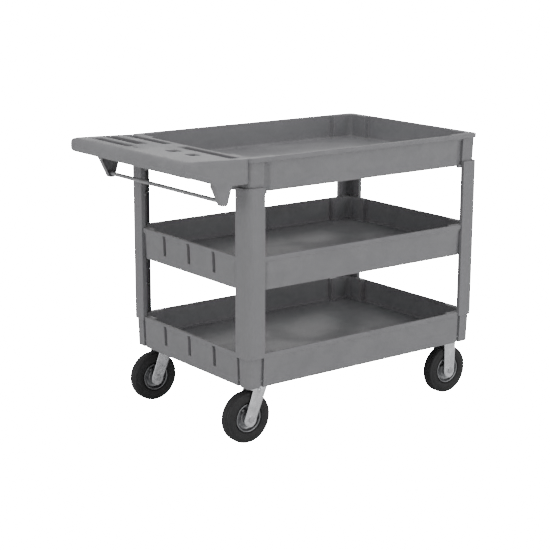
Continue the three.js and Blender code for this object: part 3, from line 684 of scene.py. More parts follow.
def tyre_rubber(name, tone):
    """Black rubber, matt, paler and dusty where it rubs."""
    material, n, shader = new_material(name)
    swirl = group(n, "swirl", Scale=26.0, Contrast=0.9)
    shade = n.mix(swirl.outputs["Mask"], tinted(tone, 0.8), tinted(tone, 1.7))
    rubbed = group(n, "wear", Radius=0.0015, Amount=0.5, Breakup=120.0)
    n.link(n.mix(rubbed.outputs["Mask"], shade, tinted(tone, 4.0)), shader.inputs["Base Color"])
    n.link(n.ramp(swirl.outputs["Cloud"], 0.0, 1.0, 0.58, 0.74), shader.inputs["Roughness"])
    shader.inputs["Specular IOR Level"].default_value = 0.4
    grain = group(n, "grain", Scale=1100.0, Coarse=0.5)
    add_bump(n, shader, grain.outputs["Height"], 0.0003, 0.6)
    return material


MATERIALS = {}


def material(name):
    """One of the cart's finishes, made when it is first asked for."""
    if name not in MATERIALS:
        finish = bpy.context.scene.cart_finish
        light, dark, zinc = tuple(finish.tray_light), tuple(finish.tray_dark), tuple(finish.zinc)
        wear, dust = finish.wear, finish.dust
        makers = {
            # The tray's flow-mark contrast of 0.55 is set high so that its lighter patches also paint the
            # floors' mottled sheen.
            "tray": lambda: moulded_plastic("tray plastic", light, dark, 0.56, 0.55, wear, dust),
            "leg": lambda: moulded_plastic("leg plastic", light, dark, 0.54, 0.3, wear, 0.1),
            "cap": lambda: moulded_plastic("cap plastic", light, dark, 0.5, 0.3, 0.2, 0.1),
            "zinc": lambda: plated_steel("bright zinc", zinc, 0.31, 0.1, 10.0),
            "rod": lambda: plated_steel("rod steel", tinted(zinc, 0.45), 0.5, 0.08, 3.0, 0.5),
            # The darker wheel disc steel is partly painted shade for the shadowed dish.
            "disc": lambda: plated_steel("wheel disc steel with painted shade", tuple(finish.disc), 0.4, 0.1, 6.0),
            "bolt": lambda: plated_steel("bolt steel", tinted(zinc, 0.75), 0.38, 0.1, 6.0),
            "rubber": lambda: tyre_rubber("tyre rubber", tuple(finish.rubber)),
        }
        MATERIALS[name] = makers[name]()
    return MATERIALS[name]


# ---- Trays -------------------------------------------------------------------------------------
class Tray:
    """One tray's sizes and its outline, worked out point by point round the wall."""

    def __init__(self, edge, depth, rim_proud, grooved, leg_low, leg_high, floor_height=None, relief=1.0):
        self.sizes = bpy.context.scene.cart_trays
        self.legs = bpy.context.scene.cart_legs
        self.edge = edge
        self.depth = depth
        self.rim = edge + depth
        self.rim_proud = rim_proud
        self.grooved = grooved
        self.relief = relief
        self.floor_height = floor_height or self.sizes.floor_height
        self.groove_foot = self.floor_height + self.sizes.groove_foot
        self.leg_low = leg_low
        self.leg_high = leg_high
        spread = self.sizes.draft + self.sizes.shelf_rim_proud
        self.half_x = (MIDDLE_HIGH.x - MIDDLE_LOW.x) / 2 - spread
        self.half_y = (MIDDLE_HIGH.y - MIDDLE_LOW.y) / 2 - spread
        self.arm = LEG_HIGH.x - LEG_LOW.x - self.legs.proud
        self.stations = list(self.round_the_wall())

    def round_the_wall(self):
        """(wall, along, distance from the corner) on the walls, and (corner, angle) between them."""
        radius = self.sizes.corner
        seat = self.sizes.seat_run
        relief = self.sizes.relief_run
        tight = (-1.1, -0.2, 0.2, 0.6, 1.6)
        pad = self.arm - self.sizes.pad_groove
        stops = [radius + 0.004, (radius + pad) / 2, pad - 0.6 * MM, pad + 0.2 * MM]
        stops += [self.arm + step * MM for step in tight]
        stops += [self.arm + relief * part for part in (0.2, 0.4, 0.6, 0.8, 1.0, 1.12)]
        stops += [seat + step * MM for step in (-2.5, -1.0, 0.6, 2.2)]
        for wall in range(4):
            half = self.half_y if wall % 2 == 0 else self.half_x
            middle = [half * part for part in (-0.4, -0.2, 0.0, 0.2, 0.4)]
            if wall == 2 and self.grooved:
                middle = []
                for number in (-1, 0, 1):
                    centre = number * self.sizes.groove_pitch
                    steps = (6.0, 4.4, 2.6, 0.9, 0.0, -0.9, -3.0)
                    out = [self.sizes.groove_width / 2 + step * MM for step in steps]
                    middle += [centre - step for step in out] + [centre + step for step in reversed(out)]
            along = [-half + stop for stop in stops] + middle + [half - stop for stop in reversed(stops)]
            along = [-(half - radius)] + along + [half - radius]
            for t in along:
                yield ("wall", wall, t, half - abs(t))
            for step in range(1, 8):
                yield ("corner", wall, math.radians(90 * (wall + step / 8)), 0.0)

    def lean(self, z):
        return self.sizes.draft * (z - self.edge) / self.depth

    def groove(self, station, extra):
        """1 in a groove and 0 outside it; extra widens it."""
        if not self.grooved or station[0] == "corner" or station[1] != 2:
            return 0.0
        away = min(abs(station[2] - number * self.sizes.groove_pitch) for number in (-1, 0, 1))
        return 1.0 - smooth_step(away, self.sizes.groove_width / 2 + extra - 0.5 * MM,
                                 self.sizes.groove_width / 2 + extra + 0.7 * MM)

    def outer(self, station, z, rim_share):
        """How far the outside stands off the wall's lower edge; rim_share is 1 on the rim band."""
        s = self.sizes
        distance = station[3]
        stand = self.lean(z) + self.rim_proud * rim_share
        in_corner = distance < self.arm + 0.4 * MM
        if in_corner and self.leg_low < z < self.leg_high:
            return -(self.legs.depth - self.legs.proud) - GAP
        if not in_corner:
            part = (distance - self.arm) / s.relief_run
            fade = 1.0 - smooth_step(z, self.rim - s.rim_height - 9 * MM, self.rim - s.rim_height)
            part = part / self.relief if self.relief else 1.0
            if part < 1:
                stand -= s.relief * self.relief * (1 - part * part) * fade
        elif not self.relief and distance > self.arm - s.pad_groove:
            stand -= s.pad_groove_depth
        foot = self.edge + self.groove_foot
        low = smooth_step(z, foot - 0.8 * MM, foot + 0.8 * MM)
        high = 1 - smooth_step(z, self.rim - s.groove_head - 0.8 * MM, self.rim - s.groove_head + 0.8 * MM)
        return stand - s.groove_depth * self.groove(station, 0) * low * high

    def inner(self, station, z, seat):
        """How far the inside stands in from the wall's lower edge, as a negative number."""
        s = self.sizes
        stand = -s.wall + max(0.0, self.lean(z) - s.draft * self.floor_height / self.depth)
        in_seat = 1 - smooth_step(station[3], s.seat_run - 2.6 * MM, s.seat_run + 2.3 * MM)
        stand = stand * (1 - in_seat) - seat * in_seat
        backed = self.groove(station, 4 * MM) * (1 - smooth_step(z, self.rim - 7.2 * MM, self.rim - 5.2 * MM))
        return min(stand, -(s.groove_depth + 4 * MM) * backed) if backed else stand

    def place(self, station, stand, z, least_radius=TURN_OUT, whole=False):
        """The point of a station that stands off the wall by stand, at height z."""
        kind, wall, along = station[:3]
        corner = self.sizes.corner
        radius = max(corner + stand, least_radius)
        if kind == "wall":
            half_along = self.half_y if wall % 2 == 0 else self.half_x
            half_out = self.half_x if wall % 2 == 0 else self.half_y
            hinge = 0.0 if whole else half_along - STRETCHED
            if abs(along) > hinge:
                reach = half_along + stand - radius
                part = (abs(along) - hinge) / (half_along - corner - hinge)
                along = math.copysign(hinge + (reach - hinge) * part, along)
            turn = math.pi / 2 * wall
            x = (half_out + stand) * math.cos(turn) - along * math.sin(turn)
            y = (half_out + stand) * math.sin(turn) + along * math.cos(turn)
        else:
            middle = math.pi / 2 * wall + math.pi / 4
            x = math.copysign(self.half_x + stand - radius, math.cos(middle)) + radius * math.cos(along)
            y = math.copysign(self.half_y + stand - radius, math.sin(middle)) + radius * math.sin(along)
        return Vector((TRAY_X + x, y, z))

    def ring(self, z, stand, least_radius=TURN_OUT, whole=False):
        """A ring at one height; stand is a number or a function of the station."""
        value = stand if callable(stand) else (lambda station: stand)
        return [self.place(station, value(station), z, least_radius, whole) for station in self.stations]

    def rings(self):
        s = self.sizes
        edge, rim = self.edge, self.rim
        floor = edge + self.floor_height
        under = floor - s.floor_thickness
        seam = rim - s.rim_height
        loops = []

        def inside(z, seat=s.seat, more=0.0):
            return lambda station: self.inner(station, z, seat) - more

        def outside(z, rim_share=0.0, less=0.0):
            return lambda station: self.outer(station, z, rim_share) - less

        def add(z, stand, *how):
            loops.append(self.ring(z, stand, *how))

        add(under, inside(edge, s.under_seat), TURN_UNDER)
        for rise, out in ((1.4, 0.0), (0.3, 0.4), (0.0, 1.3)):
            add(edge + rise * MM, inside(edge, s.under_seat, -out * MM), TURN_UNDER)
        for rise, less in ((0.0, 1.4), (0.4, 0.4), (1.4, 0.0)):
            add(edge + rise * MM, outside(edge, 0.0, less * MM))
        levels = {3 * MM, self.groove_foot - 1.2 * MM, self.groove_foot, self.groove_foot + 1.2 * MM}
        levels |= {self.depth * part for part in (0.35, 0.5, 0.64)}
        levels |= {seam - edge - step * MM for step in (9.5, 7.5, 5.5, 3.5, 1.6, 0.4)}
        for limit in (self.leg_low, self.leg_high):
            if edge < limit < seam:
                levels |= {limit - edge + step for step in SHARP_STEP}
        for level in sorted(levels):
            add(edge + level, outside(edge + level))
        for rise, part in ((0.0, 0.55), (0.5, 0.9), (1.2, 1.0)):
            add(seam + rise * MM, outside(seam + rise * MM, part))
        for limit in (self.leg_low, self.leg_high):
            if seam < limit < rim:
                for step in SHARP_STEP:
                    add(limit + step, outside(limit + step, 1.0))
        for drop in (1.2, 0.2, -1.0, -3.2):
            level = rim - s.groove_head - drop * MM
            add(level, outside(level, 1.0))
        for drop, run in quarter(s.rim_round, (0, 22, 45, 68, 90)):
            add(rim - drop, outside(rim - drop, 1.0, run))
        for drop, run in quarter(2 * MM, (90, 60, 30, 0)):
            add(rim - drop, inside(rim, s.seat, -run), TURN_IN)
        for z in (rim - 5 * MM, rim - 6.2 * MM, rim - 7.4 * MM, rim - 20 * MM, floor + 30 * MM):
            add(z, inside(z), TURN_IN)
        for rise, run in quarter(s.cove, (0, 22, 45, 68, 90)):
            add(floor + rise, inside(floor + rise, s.seat, run), TURN_COVE)
        field = s.wall + s.gutter
        for run, rise in ((-3.0, 0.0), (-0.8, 0.12), (0.6, 0.7), (1.8, 1.4), (4.0, 1.6), (9.0, 1.6)):
            level = floor + s.field_rise * rise / 1.6
            add(level, -(field + run * MM), TURN_FIELD, True)
        return loops

    def underside(self, shell):
        """Ribs under the floor."""
        floor_under = self.edge + self.floor_height - self.sizes.floor_thickness
        low, high = floor_under - 9 * MM, floor_under + 1 * MM
        half = 2 * MM
        reach_x, reach_y = self.half_x - 3 * MM, self.half_y - 3 * MM
        edge = 0.8 * MM
        if self.edge < MIDDLE_LOW.z - 0.01:
            reach_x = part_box("caster_plate_rear_right")[1].x - TRAY_X
            reach_x = abs(reach_x) - 6 * MM
        for number in (-1, 0, 1):
            y = number * self.half_y / 2
            ends = (TRAY_X - reach_x, y - half, low), (TRAY_X + reach_x, y + half, high)
            shell.rounded_box(*ends, half, edge)
        for number in range(-2, 3):
            x = TRAY_X + number * reach_x / 2
            if abs(number) == 2 and reach_x > self.half_x - 0.01:
                continue
            shell.rounded_box((x - half, -reach_y, low), (x + half, reach_y, high), half, edge)


def make_tray(node, tray, extra=None):
    shell = Shell()
    shell.loft(tray.rings())
    tray.underside(shell)
    if extra:
        extra(shell, tray)
    piece = object_from(shell.mesh(node), f"{node}_moulding", material("tray"), 42)
    flat = piece.modifiers.new("Flat faces", "WEIGHTED_NORMAL")
    flat.keep_sharp = True
    return finish_piece(piece, FRAME_BODY, "tray_plastic", node)


def caster_pads(shell, tray):
    """Thick pads under the bottom shelf, one over each caster."""
    margin = 6 * MM
    top = tray.edge + tray.floor_height - tray.sizes.floor_thickness / 2
    for corner in CORNERS:
        node = f"caster_plate_{corner}" if corner in REAR else f"rigid_fork_{corner}"
        low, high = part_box(node)
        foot = high.z + GAP
        sx, sy = CORNERS[corner]
        reach_x = tray.half_x - 3 * MM
        reach_y = tray.half_y - 3 * MM
        x0 = max(low.x - margin, TRAY_X - reach_x) if sx > 0 else TRAY_X - reach_x
        x1 = min(high.x + margin, TRAY_X + reach_x) if sx < 0 else TRAY_X + reach_x
        y0 = low.y - margin if sy > 0 else -reach_y
        y1 = high.y + margin if sy < 0 else reach_y
        shell.rounded_box((x0, y0, foot), (x1, y1, top), 5 * MM, 1.2 * MM)


def corner_tabs(shell, tray):
    """Short tabs that hang from the top tray's wall beside each leg."""
    run, set_in = tray.arm + 0.8 * MM, 1.5 * MM
    low, high = tray.edge - tray.sizes.tab_drop, tray.edge + 3 * MM
    along, through = (run, run + TAB_WIDE), (0.0, TAB_THICK)
    for sx, sy in CORNERS.values():
        for in_x, in_y, steps_x, steps_y in ((0.0, set_in, along, through), (set_in, 0.0, through, along)):
            x = sorted(sx * (tray.half_x - in_x) - sx * step for step in steps_x)
            y = sorted(sy * (tray.half_y - in_y) - sy * step for step in steps_y)
            shell.rounded_box((TRAY_X + x[0], y[0], low), (TRAY_X + x[1], y[1], high), set_in, 0.8 * MM)


class CART_OT_trays(bpy.types.Operator):
    """Moulds the three trays"""

    bl_idname = "cart.trays"
    bl_label = "Trays"

    def execute(self, context):
        s = context.scene.cart_trays
        rise = context.scene.cart_handle.rise
        top_rim = TOP_HIGH.z - rise
        leg_low, leg_high = LEG_LOW.z, LEG_HIGH.z
        shelf_depth = MIDDLE_HIGH.z - MIDDLE_LOW.z
        bottom_depth = BOTTOM_HIGH.z - BOTTOM_LOW.z
        bottom = Tray(BOTTOM_LOW.z, bottom_depth, s.shelf_rim_proud, True, leg_low, FAR_ABOVE,
                      s.bottom_floor, 0.0)
        middle = Tray(MIDDLE_LOW.z, shelf_depth, s.shelf_rim_proud, True, FAR_BELOW, FAR_ABOVE, None, 0.5)
        top = Tray(top_rim - s.top_depth, s.top_depth, s.top_rim_proud, False, FAR_BELOW, leg_high + GAP)
        make_tray("bottom_shelf", bottom, caster_pads)
        make_tray("middle_shelf", middle)
        make_tray("top_tray", top, corner_tabs)
        return {"FINISHED"}


# ---- Handle ------------------------------------------------------------------------------------
class Handle:
    """The deck, bar, skirts and rod brackets, carved as one body and then eased."""

    def __init__(self):
        self.sizes = bpy.context.scene.cart_handle
        trays = bpy.context.scene.cart_trays
        self.top = Tray(TOP_HIGH.z - self.sizes.rise - trays.top_depth, trays.top_depth,
                        trays.top_rim_proud, False, FAR_BELOW, LEG_HIGH.z)
        self.rim = self.top.rim
        self.wall_x = TRAY_X - self.top.half_x
        self.tip_x = TOP_LOW.x
        self.half = self.top.half_y + self.sizes.stand_out
        self.rod_x = (ROD_LOW.x + ROD_HIGH.x) / 2
        self.rod_z = (ROD_LOW.z + ROD_HIGH.z) / 2
        self.root = self.wall_x + 12 * MM
        self.nose = self.sizes.bar_height / 2
        self.sunk = 0.4 * MM

    def deck(self, x):
        run = (self.wall_x - x) / (self.wall_x - self.tip_x - self.nose)
        return self.rim - self.sunk + (self.sizes.rise + self.sunk) * min(1.0, max(0.0, run))

    def bracket(self, inset=0.0):
        """The bracket's outline below the skirt, in X and Z, drawn in by inset."""
        foot = self.rod_z - BRACKET_FOOT + inset
        side = BRACKET_SIDE - inset
        turn = BRACKET_TURN - inset
        shoulder = foot + BRACKET_SHOULDER - inset
        points = [(self.rod_x + BRACKET_FRONT - inset, LEG_HIGH.z + SKIRT_ABOVE_LEG)]
        points.append((self.rod_x + side, foot + turn))
        points += arc(self.rod_x + side - turn, foot + turn, turn, 0, -90, 5)
        points += arc(self.rod_x - side + turn, foot + turn, turn, -90, -180, 5)
        return points + [(self.rod_x - BRACKET_BACK + inset, shoulder)]

    def side_outline(self):
        bar_foot = TOP_HIGH.z - self.sizes.bar_height
        points = [(self.root, LEG_HIGH.z + SKIRT_ABOVE_LEG)] + self.bracket()
        start = points[-1]
        foot = self.rod_z - BRACKET_FOOT
        pull, end = [(self.rod_x - back, foot + up) for back, up in (CURVE_PULL, CURVE_END)]
        for i in range(1, 8):
            t = i / 7
            blend = [(1 - t) ** 2 * a + 2 * t * (1 - t) * b + t * t * c for a, b, c in zip(start, pull, end)]
            points.append(tuple(blend))
        points += arc(self.tip_x + self.nose, bar_foot + self.nose, self.nose, -90, -270, 20)
        return points + [(x, self.deck(x)) for x in (self.wall_x, self.root)]

    def plan_outline(self, inset):
        tip = self.tip_x + inset
        half = self.half - inset
        root = self.top.half_y - 2.5 * MM - inset
        radius = self.sizes.corner - inset
        neck = self.sizes.neck
        side = []
        for i in range(9):
            t = i / 8
            x = self.wall_x - neck * t
            side.append((x, root + (half - root) * (1 - (1 - t) ** 2)))
        right = [(self.root, -root)] + [(x, -y) for x, y in side]
        corner_right = arc(tip + radius, -half + radius, radius, 270, 180, 8)
        corner_left = arc(tip + radius, half - radius, radius, 180, 90, 8)
        left = [(x, y) for x, y in reversed(side)] + [(self.root, root)]
        return right + corner_right + corner_left + left

    def bracket_block(self, sign, inset, head, outer, inner):
        """A block of the bracket's outline carried up to head, between two distances from the middle."""
        top = [(self.rod_x - BRACKET_BACK + inset, head), (self.rod_x + BRACKET_FRONT - inset, head)]
        return slab(self.bracket(inset) + top, "y", *sorted((sign * outer, sign * inner)))

    def pocket(self, trough, grow, rise):
        """A trough's block: grown for its wall, or as it is for its hollow."""
        run_from, run_to, side, start, stop, depth = trough
        x1, x0 = self.wall_x - run_from * MM + grow, self.wall_x - run_to * MM - grow
        y0, y1 = sorted((side * start * MM, side * stop * MM))
        deck = self.deck((x0 + x1) / 2)
        shell = Shell()
        low = (x0, y0 - grow, deck - depth * MM - grow)
        shell.rounded_box(low, (x1, y1 + grow, deck + rise), 5 * MM + grow, 2 * MM)
        return shell.mesh("work")

    def build(self):
        s = self.sizes
        reach = self.half + 10 * MM
        low, high = self.rod_z - 40 * MM, TOP_HIGH.z + 10 * MM
        body = combined(slab(self.side_outline(), "y", -reach, reach),
                        slab(self.plan_outline(0.0), "z", low, high), "INTERSECT")
        end_view = [(-self.half, low), (self.half, low)]
        end_view += arc(self.half - s.edge, TOP_HIGH.z - s.edge, s.edge, 0, 90, 10)
        end_view += arc(-self.half + s.edge, TOP_HIGH.z - s.edge, s.edge, 90, 180, 10)
        body = combined(body, slab(end_view, "x", self.tip_x - 10 * MM, self.wall_x + 40 * MM), "INTERSECT")
        back = self.tip_x + s.bar_depth
        top = self.deck(back) - s.deck
        void = [(self.root + 1 * MM, low), (self.root + 1 * MM, self.rim - s.deck), (back, top), (back, low)]
        hollow = combined(slab(void, "y", -reach, reach),
                          slab(self.plan_outline(s.skirt), "z", low, high), "INTERSECT")
        body = combined(body, hollow, "DIFFERENCE")
        under, flange = self.rim - s.deck, self.half - s.flange
        for sign in (-1, 1):
            rim = self.bracket_block(sign, 0.0, under, self.half - 1 * MM, flange)
            cup = self.bracket_block(sign, BRACKET_WALL, under - 3 * MM, self.half - s.skirt, flange - 2 * MM)
            body = combined(body, combined(rim, cup, "DIFFERENCE"), "UNION")
        for trough in TROUGHS:
            body = combined(body, self.pocket(trough, 3 * MM, -2 * MM), "UNION")
        for trough in TROUGHS:
            body = combined(body, self.pocket(trough, 0.0, 12 * MM), "DIFFERENCE")
        bore = Shell()
        blind, bore_radius = self.half - 2 * MM, (ROD_HIGH.z - ROD_LOW.z) / 2 + GAP
        ends = [(bore_radius, -blind), (bore_radius, blind)]
        bore.lathe(ends, (self.rod_x, 0, self.rod_z), ACROSS, 32)
        body = combined(body, bore.mesh("work"), "DIFFERENCE")
        for stand, foot, head in ((1.5 * MM, low, self.rim - 13.5 * MM),
                                  (4.5 * MM, self.rim - 13.6 * MM, high)):
            shell = Shell()
            shell.loft([self.top.ring(foot, stand), self.top.ring(head, stand)])
            body = combined(body, shell.mesh("work"), "DIFFERENCE")
        return blended(body, s.grain_size, 4)


class CART_OT_handle(bpy.types.Operator):
    """Moulds the handle deck, its bar and its rod brackets"""

    bl_idname = "cart.handle"
    bl_label = "Handle deck"

    def execute(self, context):
        piece = object_from(Handle().build(), "handle_moulding", material("tray"), 60)
        finish_piece(piece, FRAME_BODY, "tray_plastic", "top_tray")
        return {"FINISHED"}


# ---- Legs --------------------------------------------------------------------------------------
def leg_skin_outline(arm, depth, skin, radius):
    """A leg's section: the outer skin with a flange at the end of each arm, from the outer corner."""
    outer = arc(radius, radius, radius, 180, 270, 10)
    inner = arc(radius, radius, radius - skin, 270, 180, 8)
    start = [(0, arm), *outer, (arm, 0), (arm, depth), (arm - skin, depth), (arm - skin, skin)]
    return start + inner + [(skin, arm - skin), (depth, arm - skin), (depth, arm)]


def leg_rib_outline(arm, depth, skin, radius):
    lap = 1 * MM
    bend = arc(radius, radius, radius - skin + lap, 180, 270, 6)
    far = arm - skin + lap
    inner = depth - 0.6 * MM
    return [(skin - lap, far), *bend, (far, skin - lap), (far, inner), (inner, inner), (inner, far)]


def make_leg(corner):
    s = bpy.context.scene.cart_legs
    node = f"leg_{corner}"
    low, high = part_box(node)
    sx, sy = CORNERS[corner]
    face_x = high.x if sx > 0 else low.x
    face_y = high.y if sy > 0 else low.y
    arm = high.x - low.x
    radius = bpy.context.scene.cart_trays.corner + s.proud

    def place(u, v, z):
        return Vector((face_x - sx * u, face_y - sy * v, z))

    shell = Shell()
    shell.extrude(leg_skin_outline(arm, s.depth, s.skin, radius), place, low.z, high.z)
    bay = (high.z - low.z - s.skin) / (s.ribs - 1)
    for number in range(s.ribs):
        foot = low.z + number * bay
        lift = 0.2 * MM if number == 0 else -0.2 * MM if number == s.ribs - 1 else 0.0
        shell.extrude(leg_rib_outline(arm, s.depth, s.skin, radius), place, foot + lift, foot + s.skin + lift)
    piece = object_from(shell.mesh(node), f"{node}_moulding", material("leg"))
    bevelled(piece, s.edge, 3)
    finish_piece(piece, FRAME_BODY, "leg_plastic", node)
    make_leg_screws(corner, place)


def make_leg_screws(corner, place):
    """Two bossed screws on the inside of each arm, in each gap between the trays."""
    s = bpy.context.scene.cart_legs
    sx, sy = CORNERS[corner]
    bosses, screws = Shell(), Shell()
    radius = s.screw / 2
    for base in (BOTTOM_HIGH.z, MIDDLE_HIGH.z):
        for rise in SCREW_RISES:
            for along_x in (True, False):
                z = base + rise
                spot = place(SCREW_RUN, s.skin, z) if along_x else place(s.skin, SCREW_RUN, z)
                axis = (0, -sy, 0) if along_x else (-sx, 0, 0)
                tall = s.depth - s.skin - 3.5 * MM
                boss = [(0, -1 * MM), (7.4 * MM, -1 * MM), (6.6 * MM, tall - 0.6 * MM)]
                bosses.lathe(boss + [(6.0 * MM, tall), (0, tall)], spot, axis, 24)
                crown = tall + 1.2 * MM
                head = [(0, tall - 1 * MM), (radius, tall - 1 * MM), (radius, crown)]
                for turn in (25, 50, 75):
                    angle = math.radians(turn)
                    head.append((radius * math.cos(angle), crown + 1.6 * MM * math.sin(angle)))
                head += [(0.9 * MM, tall + 2.8 * MM), (0.7 * MM, tall + 1.6 * MM), (0, tall + 1.6 * MM)]
                screws.lathe(head, spot, axis, 24)
    boss_piece = object_from(bosses.mesh("bosses"), f"leg_bosses_{corner}", material("leg"))
    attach(boss_piece, FRAME_BODY)
    screw_piece = object_from(screws.mesh("screws"), f"leg_screws_{corner}", material("bolt"))
    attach(screw_piece, FRAME_BODY)


class CART_OT_legs(bpy.types.Operator):
    """Moulds the four corner legs"""

    bl_idname = "cart.legs"
    bl_label = "Legs"

    def execute(self, context):
        for corner in CORNERS:
            make_leg(corner)
        return {"FINISHED"}


# ---- Brace rod ---------------------------------------------------------------------------------
class CART_OT_brace_rod(bpy.types.Operator):
    """Turns the brace rod and its two caps"""

    bl_idname = "cart.brace_rod"
    bl_label = "Brace rod"

    def execute(self, context):
        centre = (ROD_LOW + ROD_HIGH) / 2
        radius = min(ROD_HIGH.x - ROD_LOW.x, ROD_HIGH.z - ROD_LOW.z) / 2
        half = (ROD_HIGH.y - ROD_LOW.y) / 2
        shell = Shell()
        ends = [(0, -half), (radius * 0.75, -half), (radius, -half + 1.5 * MM)]
        shell.lathe(mirrored(ends), centre, ACROSS, 40)
        add_piece(shell, "brace_rod_steel", "rod", FRAME_BODY, "zinc_steel", "brace_rod")
        for node in ("rod_cap_left", "rod_cap_right"):
            low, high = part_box(node)
            middle = (low + high) / 2
            sign = 1 if middle.y > 0 else -1
            tall = high.y - low.y
            outer = (high.z - low.z) / 2
            bore = radius + 0.2 * MM
            profile = [(bore, -tall / 2), (bore + 1.6 * MM, -tall / 2), (bore + 2.2 * MM, -tall * 0.1)]
            profile += [(outer - 1 * MM, tall * 0.05), (outer, tall * 0.2), (outer, tall / 2)]
            profile.append((bore, tall / 2))
            cap = Shell()
            cap.lathe(profile, middle, (0, sign, 0), 40, closed=True)
            add_piece(cap, f"{node}_moulding", "cap", FRAME_BODY, "cap_plastic", node)
        return {"FINISHED"}


# ---- Casters -----------------------------------------------------------------------------------
def fork_section(half_width, sheet):
    """A fork leg's section: (across, out) with its long edges pressed in towards the wheel."""
    across = (0.0, 0.45, 0.72, 0.84, 0.93, 0.985)
    turn_in = (0.0, 0.0, 0.0, 0.25, 0.8, 1.6)
    outer = [(half_width * a, -t * MM) for a, t in zip(across, turn_in)]
    outer.append((half_width, -2.2 * MM - sheet * 0.4))
    inner = [(half_width * a * 0.985, -t * MM - sheet) for a, t in zip(across, turn_in)]
    right = outer + list(reversed(inner))
    left = [(-a, t) for a, t in reversed(right)]
    return right[1:-1] + left[1:-1]


def fork_stations(top_z, axle, inside, s, crown_half, pin_x):
    """The bent strip from one tip over the crown to the other: place, outward direction, half width."""
    bend, tip, top_half = s.bend, s.tip, s.top
    out_y = inside / 2 + s.sheet
    stations = []
    for turn in (80, 66, 52, 38, 25, 12, 0):
        angle = math.radians(turn)
        z = axle.z - FORK_DROP - tip * math.sin(angle)
        stations.append((axle.x, out_y, z, ACROSS, max(tip * math.cos(angle), 2 * MM)))
    bend_z = top_z - bend
    for i in range(1, 9):
        t = i / 8
        z = axle.z - FORK_DROP + (bend_z - axle.z + FORK_DROP) * t
        x = axle.x + (pin_x - axle.x) * t
        stations.append((x, out_y, z, ACROSS, tip + (top_half - tip) * t))
    for turn in (18, 36, 54, 72, 90):
        angle = math.radians(turn)
        y = out_y - bend + bend * math.cos(angle)
        z = bend_z + bend * math.sin(angle)
        half = top_half + (crown_half - top_half) * turn / 90
        stations.append((pin_x, y, z, (0, math.cos(angle), math.sin(angle)), half))
    stations.append((pin_x, out_y * 0.35, top_z, UP, crown_half))
    return stations + [(x, -y, z, (0, -n[1], n[2]), half) for x, y, z, n, half in reversed(stations)]


def fork_shell(shell, centre_y, stations, sheet):
    rings = []
    for x, y, z, normal, half in stations:
        out = Vector(normal)
        rings.append([Vector((x + a, centre_y + y, z)) + out * t for a, t in fork_section(half, sheet)])
    shell.loft(rings)


def rivet(shell, spot, axis, radius, tall):
    dome = [(0, -1 * MM), (radius, -1 * MM), (radius, 0.3 * tall), (radius * 0.8, 0.75 * tall)]
    shell.lathe(dome + [(radius * 0.4, tall), (0, tall)], spot, axis, 24)


def make_fork(corner):
    s = bpy.context.scene.cart_casters
    swivels = corner in REAR
    node = f"swivel_fork_{corner}" if swivels else f"rigid_fork_{corner}"
    tyre_low, tyre_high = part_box(f"tyre_{corner}")
    axle = (tyre_low + tyre_high) / 2
    low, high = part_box(node)
    shell = Shell()
    if swivels:
        inside = high.y - low.y - 2 * s.sheet
        pin_low, pin_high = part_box(f"kingpin_{corner}")
        pin_x = (pin_low.x + pin_high.x) / 2
        crown_z, crown_half = high.z, high.x - pin_x
    else:
        inside = RIGID_INSIDE
        pin_x = axle.x
        foot = high.z - RIGID_PLATE
        shell.rounded_box((low.x, low.y, foot), high, PLATE_CORNER, PLATE_EDGE)
        crown_z, crown_half = foot + 0.6 * MM, s.top
    fork_shell(shell, axle.y, fork_stations(crown_z, axle, inside, s, crown_half, pin_x), s.sheet)
    side = inside / 2 + s.sheet
    for sign in (-1, 1):
        y = axle.y + sign * side
        shell.lathe([(5.4 * MM, -0.5 * MM), (11 * MM, -0.5 * MM), (10.6 * MM, 0.7 * MM), (9.6 * MM, 1.1 * MM),
                     (5.4 * MM, 1.1 * MM)], (axle.x, y, axle.z), (0, sign, 0), 40, closed=True)
        spot = Vector((axle.x + (pin_x - axle.x) * 0.86 - 3 * MM, y, axle.z + (high.z - axle.z) * 0.86))
        rivet(shell, spot, (0, sign, 0), 6.5 * MM, 3.2 * MM)
    body = f"swivel_{corner}" if swivels else FRAME_BODY
    add_piece(shell, f"{node}_pressing", "zinc", body, "zinc_steel", node, 50)


